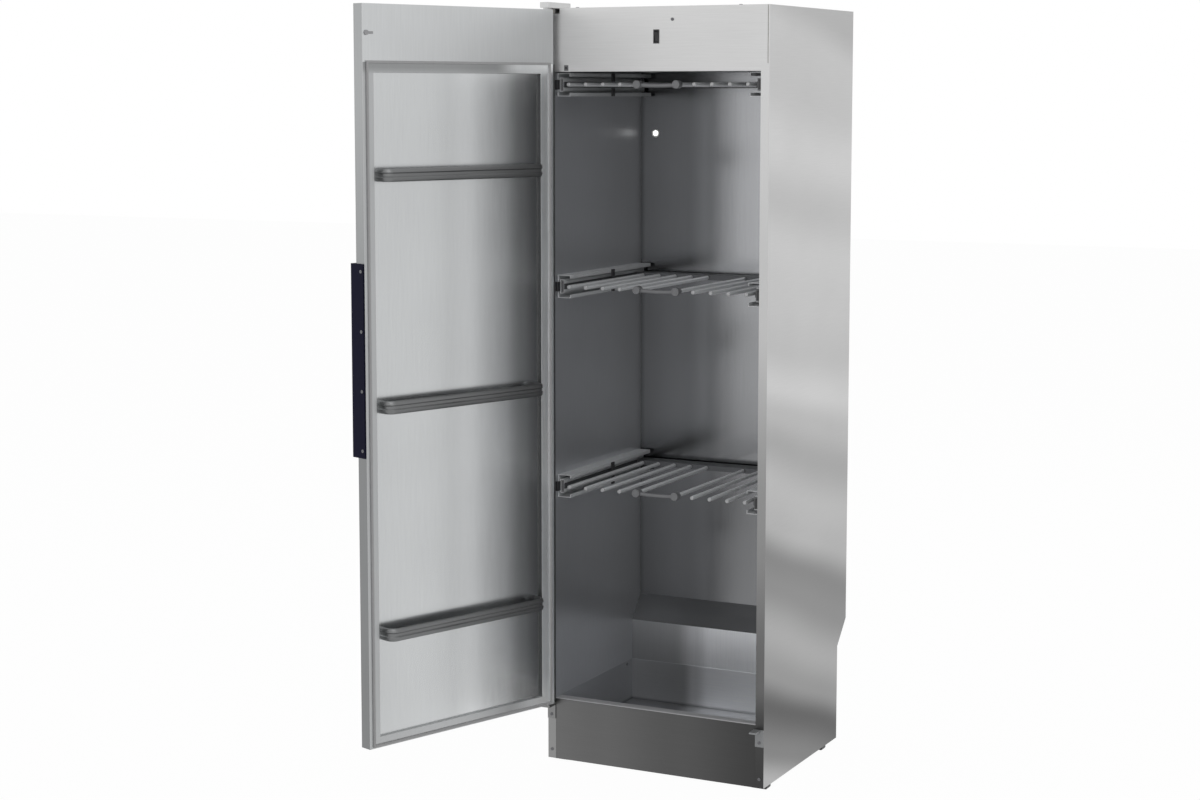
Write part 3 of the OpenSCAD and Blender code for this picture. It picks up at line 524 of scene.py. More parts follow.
# %% Sheets of steel
COOL = (0.955, 0.97, 1.0)
MILD = (0.97, 0.99, 1.0)
FINISH = {
    # The bands and ramps given to these sheets are painted reflection, light and shade.
    "side": brushed("right side sheet", 0.68, 0.36, "y", bands=side_painted_reflection),
    "side_left": brushed("left side sheet", 0.68, 0.36, "y", bands=lambda tree: side_painted_reflection(tree, LEFT_POST_REFLECTION)),
    "front": brushed("front sheet", 0.59, 0.34, "x"),
    "door_inner": brushed("door inner sheet", 1.0, 0.25, "z", MILD, 0.001, door_painted_reflection),
    "door_frame": brushed("door frame sheet", 1.0, 0.34, "z", MILD, 0.003, frame_painted_reflection),
    "door_outer": brushed("door outer sheet", 0.60, 0.34, "z", MILD),
    # The door's free edge and the recess's folds are painted dark: painted shade.
    "door_edge": brushed("door edge sheet", 0.25, 0.34, "z", MILD),
    "recess": brushed("door recess sheet", 0.12, 0.40, "z", MILD),
    "liner": brushed("chamber side sheet", 0.96, 0.38, "z", COOL, 0.001, chamber_painted_light, chamber_gloss),
    "ceiling": brushed("chamber ceiling sheet", 0.34, 0.20, "x", COOL, 0.001),
    "back": brushed("back wall sheet", 0.48, 0.17, "z", COOL, 0.001, back_painted_reflection),
    "low_wall": brushed("lower back wall sheet", 1.0, 0.44, "z", COOL, 0.002, low_wall_painted_light),
    # The slope is painted dark: painted shade from the dark tray it faces.
    "slope": brushed("slope sheet", 0.115, 0.34, "z", COOL, 0.002),
    "floor": brushed("floor tray sheet", 1.0, 0.43, "x", COOL, 0.003, tray_painted_light),
    "kick": brushed("kick sheet", 0.17, 0.34, "x", bands=kick_painted_reflection),
    "rail": brushed("rail steel", 0.20, 0.45, "x", MILD, bands=rail_painted_shade),
    # The lower hinge's plate is painted darker than the upper arm: painted shade, like the post beside it.
    "plate": brushed("hinge plate steel", 0.24, 0.36),
    "hinge": brushed("hinge steel", 0.52, 0.34, "y"),
}
print("sheets:", len(FINISH))

# %% Small parts, plastic and paint
FINISH.update({
    "hinge_edge": plain("door hinge edge", (0.60, 0.605, 0.61), 0.40, metal=0.4, grain=0.03, size=30),
    # The kick's top lip is a painted highlight.
    "lip": plain("kick lip", (0.40, 0.40, 0.41), 0.50, metal=0.3),
    # The rails' hinge ends are painted near black: painted shade.
    "rail_end": plain("rail end steel", (0.05, 0.05, 0.053), 0.55, metal=0.5),
    "rod": plain("rod steel", (0.72, 0.73, 0.74), 0.42, metal=0.55, grain=0.05, size=30),
    "rod_end": plain("rod end steel", (0.36, 0.365, 0.37), 0.45, metal=0.6, grain=0.05, size=30),
    "grip": plain("grip steel", (0.17, 0.172, 0.178), 0.50, metal=0.5),
    "mark": plain("grey magnet", (0.34, 0.34, 0.35), 0.60),
    "soft": plain("dark grey plastic", (0.11, 0.11, 0.115), 0.50),
    "rest": plain("door rest steel", (0.24, 0.245, 0.25), 0.50, metal=0.5),
    "slide": plain("slide steel", (0.64, 0.65, 0.66), 0.45, metal=0.35, grain=0.06, size=30),
    # The racks' frames are painted dark: painted shade.
    "crossbar": plain("crossbar steel", (0.10, 0.103, 0.108), 0.46, metal=0.6, grain=0.06, size=30),
    "bracket": plain("bracket steel", (0.56, 0.57, 0.58), 0.46, metal=0.35, grain=0.06, size=30),
    "screw": plain("screw steel", (0.16, 0.16, 0.17), 0.42, metal=0.8),
    "zinc": plain("zinc-coated sheet", (0.50, 0.52, 0.53), 0.48, metal=0.9, grain=0.10, size=14.0),
    "wool": plain("mineral wool", (0.30, 0.29, 0.26), 0.95, grain=0.25, size=120.0, bump=0.4),
    "seal": plain("seal rubber", (0.36, 0.36, 0.365), 0.66),
    "black": plain("black plastic", (0.018, 0.018, 0.02), 0.42),
    "white": plain("white plastic", (0.78, 0.78, 0.76), 0.40),
    "handle": plain("dark blue plastic", (0.006, 0.006, 0.019), 0.50, grain=0.08, shine=0.05),
    "paint": plain("dark paint", (0.06, 0.065, 0.07), 0.45),
    "heater": plain("oxidised heater tube", (0.30, 0.11, 0.06), 0.55, metal=0.6, grain=0.2),
    "bronze": plain("bearing bronze", (0.50, 0.34, 0.16), 0.35, metal=1.0),
})
print("finishes:", len(FINISH))

# %% [markdown]
# ## Finishes of the solids
#
# A solid whose shape is right stays, and only gets a finish. The print shows if one was forgotten.

# %% Dress the solids
SOLIDS = {
    "side": "side_panel_right",
    "side_left": "side_panel_left",
    "front": "header_panel top_panel",
    "rest": "door_rest",
    "door_inner": "door_inner_panel",
    "door_frame": "door_inner_frame",
    "door_outer": "door_outer_panel",
    "liner": "side_liners",
    "back": "back_liner_upper",
    "ceiling": "ceiling_plate",
    "low_wall": "back_liner_lower",
    "floor": "floor_tray",
    "kick": "kick_panel",
    "rail": "door_rail_top door_rail_middle door_rail_bottom",
    "rod": "rods_top rods_middle rods_bottom",
    "slide": "wall_brackets outer_slides rack_top rack_middle rack_bottom runners_top runners_middle "
             "runners_bottom carriers_top carriers_middle carriers_bottom",
    "hinge": "hinge_arm_top hinge_arm_bottom",
    "screw": "panel_screws handle_screws hinge_pins",
    "zinc": "back_cover_upper back_cover_lower base_plate exhaust_collar fan_housing control_box "
            "fan_impeller",
    "wool": "wall_insulation door_insulation",
    "seal": "door_seal",
    "soft": "door_switch",
    "black": "cable_gland rocker_housing slide_stops rocker switch_plunger glides",
    "mark": "door_magnet",
    "white": "vent_bush",
    "handle": "door_handle",
    "paint": "fan_motor thermostat",
    "heater": "heater",
    "bronze": "hinge_bushes",
}


def dress(piece, finish):
    """Gives a piece its finish."""
    piece.data.materials.clear()
    piece.data.materials.append(FINISH[finish])
    return piece


for finish, names in SOLIDS.items():
    for name in names.split():
        dress(nodes[name], finish)
print("solids without a finish:", sorted(set(nodes) - set(" ".join(SOLIDS.values()).split())))

# %% [markdown]
# ## Rounded folds
#
# A folded sheet has a small radius at each fold. The solids are exact but sharp, and their triangles are loose.
# So each sheet is copied, its triangles are merged back into flat faces, and its edges get a small bevel. The
# copy then stands for the solid. Modelling the sheets anew would only repeat what the solids already know.


# %% A softened copy of a solid
def fitted(piece, finish, body, slot_name, *replaced):
    """Dresses a new piece, lets it ride on its body and hides the solids it stands for."""
    dress(piece, finish)
    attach(piece, body)
    if replaced:
        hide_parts(*replaced)
    return piece


def softened(name, body, finish, slot_name, width, segments=2):
    """Copies a solid, merges its faces and rounds its edges; the copy stands for the solid."""
    only(nodes[name])
    bpy.ops.object.duplicate(linked=False)
    twin = latest(name + "_folded")
    bpy.ops.object.parent_clear(type="CLEAR_KEEP_TRANSFORM")
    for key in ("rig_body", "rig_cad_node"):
        if key in twin:
            del twin[key]
    edit(twin)
    everything()
    bpy.ops.mesh.remove_doubles(threshold=0.00002)
    bpy.ops.mesh.dissolve_limited(angle_limit=math.radians(0.5))
    done()
    rounded(twin, width * MM, segments)
    return fitted(twin, finish, body, slot_name, name)


# %% Sheets of the body
FOLDED = (
    ("side_panel_left", "side_left", "steel_side", 0.5),
    ("side_panel_right", "side", "steel_side", 0.5),
    ("header_panel", "front", "steel_front", 0.35),
    ("top_panel", "front", "steel_front", 0.35),
    ("kick_panel", "kick", "steel_front", 0.35),
    ("floor_tray", "floor", "steel_liner", 0.35),
    ("back_liner_lower", "low_wall", "steel_liner", 0.3),
    ("hinge_arm_top", "hinge", "steel_front", 1.2),
    # The lower hinge's plate takes the painted shade of the post beside it.
    ("hinge_arm_bottom", "plate", "steel_front", 0.8),
    ("wall_brackets", "bracket", "steel_liner", 0.5),
    ("outer_slides", "slide", "galvanised", 0.5),
    ("slide_stops", "black", "black_plastic", 0.8),
    ("back_cover_upper", "zinc", "galvanised", 0.3),
    ("back_cover_lower", "zinc", "galvanised", 0.3),
    ("control_box", "zinc", "galvanised", 1.0),
    ("fan_housing", "zinc", "galvanised", 0.5),
    ("vent_bush", "white", "white_plastic", 0.5),
    ("door_switch", "soft", "black_plastic", 0.7),
    ("door_rest", "rest", "steel_dark", 0.6),
)
for name, finish, slot_name, width in FOLDED:
    made = softened(name, "cabinet", finish, slot_name, width)
    print(made.name, "faces:", len(made.data.polygons))

# %% [markdown]
# ## Faces with painted light and shade
#
# Some faces of one sheet get painted light or shade: the slope in the back wall looks down at the dark tray and
# gets painted shade, the kick panel's rounded lip looks up and gets a painted highlight, and the bore of the
# vent glows with painted daylight. They belong to the same sheet, so they stay in its mesh, and only their
# faces get a second material.


# %% Slope and lip
def second_finish(piece, finish, test):
    """Gives the faces that pass a test, by centre in millimetres and normal, another finish."""
    piece.data.materials.append(FINISH[finish])
    last = len(piece.data.materials) - 1
    chosen = [face for face in piece.data.polygons if test(face.center / MM, face.normal)]
    for face in chosen:
        face.material_index = last
    return len(chosen)


wall = bpy.data.objects["back_liner_lower_folded"]
print("faces of the slope:", second_finish(wall, "slope", lambda c, n: 0.3 < abs(n.z) < 0.95))
kick_top = corners("kick_panel")[1][2]
kick = bpy.data.objects["kick_panel_folded"]
print("faces of the kick's lip:", second_finish(kick, "lip", lambda c, n: n.z > 0.5 and c.z > kick_top - 3))

# %% Painted daylight in the vent's bore
VENT_BORE = 8.0
# An emission makes the bore glow: painted daylight, not a lamp.
FINISH["daylight"], tree, shader = material("daylit vent bore")
shader.inputs["Base Color"].default_value = (0.85, 0.85, 0.84, 1)
shader.inputs["Emission Color"].default_value = (1, 1, 1, 1)
shader.inputs["Emission Strength"].default_value = 0.55
tree.links.new(ranged(tree, noise(tree, (1, 1, 1), 40), 0.40, 0.55), shader.inputs["Roughness"])
vent = middle_of(corners("vent_bush"))
bore_faces = second_finish(
    bpy.data.objects["vent_bush_folded"], "daylight",
    lambda c, n: math.hypot(c.x - vent[0], c.z - vent[2]) < VENT_BORE and abs(n.y) < 0.5,
)
print("vent faces with painted daylight:", bore_faces)

# %% [markdown]
# ## Racks and switches
#
# Each rack hangs between two telescopic slides. Crossbars and slides are rolled from thicker sheet, so their
# bevels are a little wider. The front ends of the slides carry dark plastic, which is a second material again.

# %% Sheets and bars of the racks, and the two switches
LEVELS = ("top", "middle", "bottom")
# The racks' frames take the crossbar finish, whose dark tone is painted shade.
for level in LEVELS:
    softened("rack_" + level, "rack_" + level, "crossbar", "steel_liner", 0.7)
    inner = softened("runners_" + level, "rack_" + level, "slide", "galvanised", 0.5)
    middle = softened("carriers_" + level, "carrier_" + level, "slide", "galvanised", 0.3)
    for member in (inner, middle):
        second_finish(member, "soft", lambda c, n: n.y < -0.7)
softened("rocker", "rocker_key", "black", "black_plastic", 0.6, 3)
softened("rocker_housing", "cabinet", "black", "black_plastic", 0.5, 3)
print("racks dressed")

# %% [markdown]
# ## The door
#
# The door is a folded steel shell, a pressed inner frame and a recessed inner panel. The shell's long outer
# edges are folded with a larger radius than the frame. The narrow faces at the free edge and in the recess look
# away from the light and get a dark painted shade, and the one at the hinge looks into it and gets a duller
# finish.

# %% Door shell and frame
RECESS_Y = -460
shell = softened("door_outer_panel", "door", "door_outer", "steel_front", 0.6)
inner_frame = softened("door_inner_frame", "door", "door_frame", "steel_front", 0.4)
across_door = Matrix.Rotation(math.radians(-DOOR_OPEN), 3, "Z") @ Vector((1, 0, 0))
# The recess's folds and the door's free edge are painted dark: painted shade.
folds = second_finish(inner_frame, "recess", lambda c, n: n.dot(across_door) > 0.6 and c.y > RECESS_Y)
edges = second_finish(shell, "door_edge", lambda c, n: n.dot(across_door) > 0.6)
edges += second_finish(shell, "hinge_edge", lambda c, n: n.dot(across_door) < -0.6)
print("dark folds of the recess:", folds, "faces of the edges:", edges)

# %% [markdown]
# ## Door rails
#
# Each rail is one bar with a rounded groove along its middle, bent to a hoop that stands on the door's inner
# panel. A curve with a round bevel could draw the hoop, but not the groove. So the section comes first, a ring
# pinched at its waist, which is extruded along the runs and spun round the bends. A shut door is square to the
# axes, so its pieces are made there and swung open at the end.

# %% The door shut and open
PIVOT = Matrix.Translation(Vector(HINGE) * MM)


def swing(angle):
    """The turn round the door's hinge by an angle in degrees."""
    return PIVOT @ Matrix.Rotation(math.radians(angle), 4, "Z") @ PIVOT.inverted()


def extent(spots):
    """Lowest and highest corner, in millimetres, round a list of points."""
    return [[limit(p[i] for p in spots) / MM for i in range(3)] for limit in (min, max)]


def closed_box(name):
    """Corners of a door node in millimetres with the door swung shut."""
    shut = swing(DOOR_OPEN)
    return extent([shut @ v.co for v in nodes[name].data.vertices])


def open_door(piece):
    """Swings a piece from the closed door's place to where the open door holds it."""
    piece.matrix_world = swing(-DOOR_OPEN) @ piece.matrix_world
    return settle(piece)


# %% A ring, and a sweep by extrude and spin
TURNS = {"x": (0, math.pi / 2, 0), "y": (math.pi / 2, 0, 0), "z": (0, 0, 0)}
WELD = 0.00001


def pick(piece, kind, test):
    """Selects the "verts" or "faces" that pass a test, in edit mode."""
    mesh = bmesh.from_edit_mesh(piece.data)
    for part in getattr(mesh, kind):
        part.select_set(bool(test(part)))
    mesh.select_flush_mode()
    bmesh.update_edit_mesh(piece.data)


def ring(name, centre, radius, axis, sides):
    """An open ring of edges around a point, given in millimetres."""
    bpy.ops.mesh.primitive_circle_add(
        vertices=sides, radius=radius * MM, fill_type="NOTHING",
        location=[v * MM for v in centre], rotation=TURNS[axis],
    )
    return settle(latest(name))


def push(move):
    """Extrudes the selection by millimetres."""
    bpy.ops.mesh.extrude_region_move(TRANSFORM_OT_translate={"value": [v * MM for v in move]})


def closed(piece, angle=40):
    """Welds a mesh, fills its open ends, turns its faces outwards and smooths it."""
    everything()
    bpy.ops.mesh.remove_doubles(threshold=WELD)
    bpy.ops.mesh.fill_holes(sides=0)
    bpy.ops.mesh.normals_make_consistent(inside=False)
    done()
    bpy.ops.object.shade_smooth_by_angle(angle=math.radians(angle))
    return piece


def sweep(piece, steps):
    """Extrudes a ring along runs and spins it round bends, then closes its ends."""
    edit(piece, "VERT")
    everything()
    for kind, where, *bend in steps:
        if kind == "run":
            push(where)
        else:
            angle, axis, parts = bend
            bpy.ops.mesh.spin(
                steps=parts, angle=math.radians(angle), center=[v * MM for v in where], axis=axis,
            )
    return closed(piece)


# %% The rail's section
RAIL_T = 10
ZONES = ((-1, 0.30, 0.48), (0.30, 0.93, 1.10))
(rail_x0, panel_y, rail_z0), (rail_x1, rail_y, rail_z1) = closed_box("door_rail_top")
rail_z, rail_half = (rail_z0 + rail_z1) / 2, (rail_z1 - rail_z0) / 2
stretch = rail_half / (RAIL_T / 2)
middle = (rail_x0 + RAIL_T / 2, panel_y, rail_z)

section = ring("door_rail_section", middle, RAIL_T / 2, "y", 32)
section.scale = (1, 1, stretch)
section.location = (0, 0, rail_z * MM * (1 - stretch))
settle(section)
edit(section, "VERT")
for start, stop, width in ZONES:
    pick(section, "verts", lambda v: start < abs(v.co.z / MM - rail_z) / rail_half < stop)
    bpy.ops.transform.resize(value=(width, 1, 1), center_override=Vector(middle) * MM)
done()
print("rail from", round(rail_x0, 1), "to", round(rail_x1, 1), "at", round(rail_z, 1))

# %% One rail
RAIL_CORNER = 22
BEND = (90, (0, 0, 1), 8)
bend_y = rail_y - RAIL_CORNER
rail = sweep(section, (
    ("run", (0, bend_y - panel_y, 0)),
    ("turn", (rail_x0 + RAIL_CORNER, bend_y, 0), *BEND),
    ("run", (rail_x1 - rail_x0 - 2 * RAIL_CORNER, 0, 0)),
    ("turn", (rail_x1 - RAIL_CORNER, bend_y, 0), *BEND),
    ("run", (0, panel_y - bend_y, 0)),
))
open_door(rail)


def span(low, high):
    """The size between two corners."""
    return [round(b - a, 1) for a, b in zip(low, high)]


print("rail spans", span(*extent([v.co for v in rail.data.vertices])), "of", span(*corners("door_rail_top")))

# %% Three rails
RAIL_END = 16


def copy_of(piece, name, move=(0, 0, 0)):
    """A copy with its own mesh, moved by millimetres."""
    only(piece)
    bpy.ops.object.duplicate(linked=False)
    twin = latest(name)
    twin.location = [v * MM for v in move]
    return settle(twin)


for level in LEVELS:
    up = middle_of(closed_box("door_rail_" + level))[2] - rail_z
    one = copy_of(rail, "hoop_rail_" + level, (0, 0, up))
    fitted(one, "rail", "door", "steel_rail", "door_rail_" + level)
    # The hinge end of each rail is painted near black: painted shade.
    hinge_end = max(v.co.y for v in one.data.vertices) / MM - RAIL_END
    print(one.name, "dark faces at its end:", second_finish(one, "rail_end", lambda c, n: c.y > hinge_end))
bpy.data.objects.remove(rail)

# %% [markdown]
# ## Handle
#
# The handle is one bent plate of dark plastic: a flat face on the door's free edge, and a lip that returns over
# the front of the door for the fingers. The solid has this shape already. A generous bevel in four steps makes
# its edges kind to the hand, and gives them the soft light of moulded plastic.

# %% Handle
handle = softened("door_handle", "door", "handle", "handle_plastic", 1.3, 4)
print("handle faces:", len(handle.data.polygons))

# %% [markdown]
# ## Seal
#
# The seal is a rubber tube with a flat foot, pressed into the inner frame all round. A section could be swept
# round it, but its mitred corners would have to be worked out. Extrude and inset on a flat frame make them
# alone. The profile goes up in steps: foot, groove, and a rounded tube.

# %% A flat frame
STRIP_W, SEAL_GAP = 6, 0.05
seal_low, seal_high = closed_box("door_seal")
seal_w, seal_t, seal_h = [b - a for a, b in zip(seal_low, seal_high)]
seal_x, _, seal_z = middle_of((seal_low, seal_high))
bpy.ops.mesh.primitive_plane_add(size=1)
seal = latest("rubber_seal")
seal.rotation_euler = (-math.pi / 2, 0, 0)
seal.scale = (seal_w * MM, seal_h * MM, 1)
seal.location = [v * MM for v in (seal_x, seal_low[1] + SEAL_GAP, seal_z)]
settle(seal)
edit(seal)
everything()
bpy.ops.mesh.inset(thickness=STRIP_W * MM)
bpy.ops.mesh.delete(type="FACE")
everything()
bpy.ops.mesh.normals_make_consistent(inside=False)
print("seal thickness:", round(seal_t, 2))

# %% The seal's profile
PROFILE = ((0.30, 0.0), (0.12, 0.5), (0.10, -0.45), (0.22, 0.0), (0.16, 0.55), (0.06, 1.1))
for rise, narrower in PROFILE:
    push((0, seal_t * rise, 0))
    if narrower:
        bpy.ops.mesh.inset(thickness=abs(narrower) / 2 * MM, use_outset=narrower < 0, use_even_offset=True)
open_door(closed(seal, SMOOTH_UNDER))
fitted(seal, "seal", "door", "rubber_seal", "door_seal")
print("seal faces:", len(seal.data.polygons))

# %% [markdown]
# ## Rods
#
# Ten rods hang from the crossbar of each rack. Their front ends are rounded off so that clothes slide over
# them. The two in the middle end in thicker bosses, which a bowed pull bar joins. One rod and one boss are
# modelled and copied. An array modifier could place the rods too, but not with the wider gap in the middle.


# %% Cylinders and joining
def disc(name, centre, radius, length, axis="y", round_to=0.0, sides=32):
    """A cylinder along an axis, given by its middle in millimetres, with rounded edges if wanted."""
    bpy.ops.mesh.primitive_cylinder_add(
        vertices=sides, radius=radius * MM, depth=length * MM,
        location=[v * MM for v in centre], rotation=TURNS[axis],
    )
    piece = settle(latest(name))
    return rounded(piece, round_to * MM, 3) if round_to else piece


def joined(name, pieces):
    """Joins several pieces into one object."""
    bpy.ops.object.select_all(action="DESELECT")
    for piece in pieces:
        piece.select_set(True)
    bpy.context.view_layer.objects.active = pieces[0]
    bpy.ops.object.join()
    return latest(name)


# %% Ten rods
ROD_R, ROD_ROUND = 5, 1.8
FIRST_ROD, SPACES = 53, 4
rod_z = middle_of(corners("rack_top"))[2]
last_rod, rod_back = [corners("rods_top")[1][i] for i in (0, 1)]
rod_front = FRONT + 4
rod_places = [FIRST_ROD + k * (last_rod - ROD_R - FIRST_ROD) / SPACES for k in range(SPACES + 1)]
rod = disc("rod", (0, (rod_front + rod_back) / 2, rod_z), ROD_R, rod_back - rod_front, "y", ROD_ROUND, 24)
copies = [copy_of(rod, "rod_copy", (side * x, 0, 0)) for side in (-1, 1) for x in rod_places]
bpy.data.objects.remove(rod)
rods = joined("rods_set", copies)
print("rods at", [round(x, 1) for x in rod_places])

# %% Two bosses
BOSS_R, BOSS_L = 10, 20
BOSS_RIM, BOSS_DISH, BOSS_ROUND = 2.5, 0.8, 1.2
boss_y = FRONT + 2 + BOSS_L / 2
boss = disc("boss", (0, boss_y, rod_z), BOSS_R, BOSS_L)
edit(boss)
pick(boss, "faces", lambda f: f.normal.y < -0.9)
bpy.ops.mesh.inset(thickness=BOSS_RIM * MM)
push((0, BOSS_DISH, 0))
done()
rounded(boss, BOSS_ROUND * MM, 3)
grips = [copy_of(boss, "boss_copy", (side * FIRST_ROD, 0, 0)) for side in (-1, 1)]
bpy.data.objects.remove(boss)
print("boss faces:", len(grips[0].data.polygons))

# %% Bowed pull bar
BAR_R, BAR_DROP, BOW = 5, 1, 2
bow_r = (FIRST_ROD ** 2 + BOW ** 2) / (2 * BOW)
half_turn = math.degrees(math.asin(FIRST_ROD / bow_r))
bar_z = rod_z - BAR_DROP - BOW
bow_centre = (0, boss_y, bar_z + bow_r)
bar = ring("pull_bar", (0, boss_y, bar_z), BAR_R, "x", 20)
centre = Matrix.Translation(Vector(bow_centre) * MM)
bar.matrix_world = centre @ Matrix.Rotation(math.radians(half_turn), 4, "Y") @ centre.inverted()
settle(bar)
sweep(bar, (("turn", bow_centre, 2 * half_turn, (0, 1, 0), 18),))
print("pull bar spans", span(*extent([v.co for v in bar.data.vertices])))
grips = joined("grips_set", grips + [bar])

# %% Three sets of rods
for level in LEVELS:
    up = (0, 0, middle_of(corners("rack_" + level))[2] - rod_z)
    one = copy_of(rods, "rod_set_" + level, up)
    fitted(one, "rod", "rack_" + level, "steel_rail", "rods_" + level)
    print(one.name, "faces of the rods' ends:", second_finish(one, "rod_end", lambda c, n: n.y < -0.5))
    one = copy_of(grips, "pull_grip_" + level, up)
    fitted(one, "grip", "rack_" + level, "steel_dark", "rods_" + level)
bpy.data.objects.remove(rods)
bpy.data.objects.remove(grips)

# %% [markdown]
# ## Screws
#
# Pan-head screws hold the posts, the handle and the covers. One is modelled: a short cylinder with a domed rim
# and a cross recess. Insets could make the recess, but a boolean with two crossed wedges gives its sloping
# walls at once. Each screw is a copy of this one, turned by its own angle.


# %% Blocks and cuts
def block(name, low, high, round_to=0.0):
    """A box between two corners in millimetres, with rounded edges if wanted."""
    bpy.ops.mesh.primitive_cube_add(size=1, location=[v * MM for v in middle_of((low, high))])
    piece = latest(name)
    piece.scale = [(b - a) * MM for a, b in zip(low, high)]
    settle(piece)
    return rounded(piece, round_to * MM, 3) if round_to else piece


def cut_out(piece, cutter):
    """Cuts the shape of a second piece out of the first one, and removes it."""
    only(piece)
    cut = piece.modifiers.new("cut", "BOOLEAN")
    cut.operation = "DIFFERENCE"
    cut.solver = "EXACT"
    cut.object = cutter
    bpy.ops.object.modifier_apply(modifier="cut")
    bpy.data.objects.remove(cutter)


# %% One screw
HEAD_R, HEAD_H = 4, 1.6
DOME = 0.9
SHANK_R, SHANK_L = 1.9, 8
CROSS_LONG, CROSS_THIN, CROSS_DEEP = 4.2, 0.9, 0.9
CROSS_TAPER = 0.55
head = disc("screw", (0, 0, HEAD_H / 2), HEAD_R, HEAD_H, "z", 0.0, 24)
edit(head, "EDGE")
pick(head, "verts", lambda v: v.co.z > HEAD_H * 0.9 * MM)
bpy.ops.mesh.bevel(offset=DOME * MM, segments=3, affect="EDGES")
done()
bottom = HEAD_H - CROSS_DEEP
arms = [
    block("recess", (-wide / 2, -deep / 2, bottom), (wide / 2, deep / 2, HEAD_H + 1))
    for wide, deep in ((CROSS_LONG, CROSS_THIN), (CROSS_THIN, CROSS_LONG))
]
for arm in arms:
    edit(arm)
    pick(arm, "faces", lambda f: f.normal.z < -0.9)
    bpy.ops.transform.resize(value=(CROSS_TAPER, CROSS_TAPER, 1), center_override=(0, 0, bottom * MM))
    done()
    cut_out(head, arm)
shank = disc("shank", (0, 0, -SHANK_L / 2), SHANK_R, SHANK_L, "z", 0.0, 16)
screw = joined("screw_master", [head, shank])
bpy.ops.object.shade_smooth_by_angle(angle=math.radians(35))
print("screw faces:", len(screw.data.polygons))


# %% Places of the body's screws
def screw_at(spot, facing, spin):
    """A copy of the screw with its head outwards along a direction."""
    twin = copy_of(screw, "screw_copy")
    turn = Vector(facing).to_track_quat("Z", "Y").to_matrix().to_4x4()
    twin.matrix_world = (
        Matrix.Translation(Vector(spot) * MM) @ turn @ Matrix.Rotation(math.radians(spin), 4, "Z")
    )
    return settle(twin)


POST_X = HALF - 11
POST_LOW = 33
KICK_SCREW = (3, 126)
REAR_X = HALF - 15
REAR = corners("back_cover_upper")[1][1]
LOW_REAR = REAR - 61
LOW_REAR_Z = (60, 210)
SEAM_MARGIN = 40
TRAY_FRONT, TRAY_REAR, TRAY_DOWN, TRAY_WALL = 14, 33, 9, 0.8
TOP_SCREW = (80, 12)
HEADER_SCREW = (45, 1893)
seam = corners("back_cover_upper")[0][2]
rear_step = (corners("side_panel_right")[1][2] - seam - 2 * SEAM_MARGIN) / 4
tray_low, tray_high = corners("floor_tray")


def side_screws(side):
    """Places and directions of the screws on one side of the cabinet."""
    yield (side * POST_X, FRONT, POST_LOW), (0, -1, 0)
    yield (side * POST_X, FRONT - KICK_SCREW[0], KICK_SCREW[1]), (0, -1, 0)
    for z in LOW_REAR_Z:
        yield (side * REAR_X, LOW_REAR, z), (0, 1, 0)
    for k in range(5):
        yield (side * REAR_X, REAR, seam + SEAM_MARGIN + k * rear_step), (0, 1, 0)
    for y in (tray_high[1] - TRAY_REAR, tray_low[1] + TRAY_FRONT):
        yield (side * (tray_high[0] - TRAY_WALL), y, tray_high[2] - TRAY_DOWN), (-side, 0, 0)
    yield (side * (HALF - TOP_SCREW[0]), FRONT + TOP_SCREW[1], TOP), (0, 0, 1)


# %% Screws of the body
spots = [*side_screws(-1), *side_screws(1)]
placed = [screw_at(spot, facing, 37 * (count + 1) % 90) for count, (spot, facing) in enumerate(spots)]
placed.append(screw_at((HEADER_SCREW[0], FRONT, HEADER_SCREW[1]), (0, -1, 0), 20))
print("screws on the body:", len(placed))
body_screws = joined("body_screws", placed)
fitted(body_screws, "screw", "cabinet", "galvanised", "panel_screws")
second_finish(body_screws, "rest", lambda c, n: abs(c.x) < tray_high[0] and c.y < tray_high[1] and c.z < 200)

# %% Screws of the handle
grip_x = closed_box("door_handle")[1][0]
screws_low, screws_high = closed_box("handle_screws")
screws_y = middle_of((screws_low, screws_high))[1]
screw_step = (screws_high[2] - screws_low[2] - 2 * HEAD_R) / 3
placed = [
    screw_at((grip_x, screws_y, screws_low[2] + HEAD_R + count * screw_step), (1, 0, 0), 25 * count)
    for count in range(4)
]
handle_screws = open_door(joined("grip_screws", placed))
fitted(handle_screws, "screw", "door", "galvanised", "handle_screws")
bpy.data.objects.remove(screw)
print("screws on the handle:", len(placed))

# %% [markdown]
# ## Feet
#
# The cabinet stands on four rubber pads that reach out under the side panels. Each has rounded corners, a
# stepped tread and a stud that goes up into the base. Bevelled blocks and a cylinder do for such plain shapes.

# %% Feet
PAD_L, PAD_W = 28, 42
TREAD, TREAD_IN = 1.5, 2
STUD_R, STUD_IN = 3.9, 28
glide_low, glide_high = corners("glides")
foot_h = corners("base_plate")[0][2]
feet = []
for side in (-1, 1):
    x0, x1 = sorted((side * glide_high[0], side * (glide_high[0] - PAD_W)))
    stud_x = side * (glide_high[0] - STUD_IN)
    for y in (glide_low[1], glide_high[1] - PAD_L):
        tread_low, tread_high = (x0 + TREAD_IN, y + TREAD_IN, 0), (x1 - TREAD_IN, y + PAD_L - TREAD_IN, 3)
        stud = (stud_x, y + PAD_L / 2, glide_high[2] / 2 + 2)
        feet += [
            block("pad", (x0, y, TREAD), (x1, y + PAD_L, foot_h - 0.2), 2.0),
            block("tread", tread_low, tread_high, 0.8),
            disc("stud", stud, STUD_R, glide_high[2] - 4, "z", 0.5, 16),
        ]
feet = joined("feet", feet)
fitted(feet, "black", "cabinet", "black_plastic", "glides")
print("feet reach to x", round(glide_high[0], 1))

# %% [markdown]
# ## Exhaust collar
#
# The moist air leaves through a round collar on the top, a turned part with a flange and a rolled rim. Stacked
# cylinders would need cuts. A spun outline needs none, and every step of the part can be read in it.


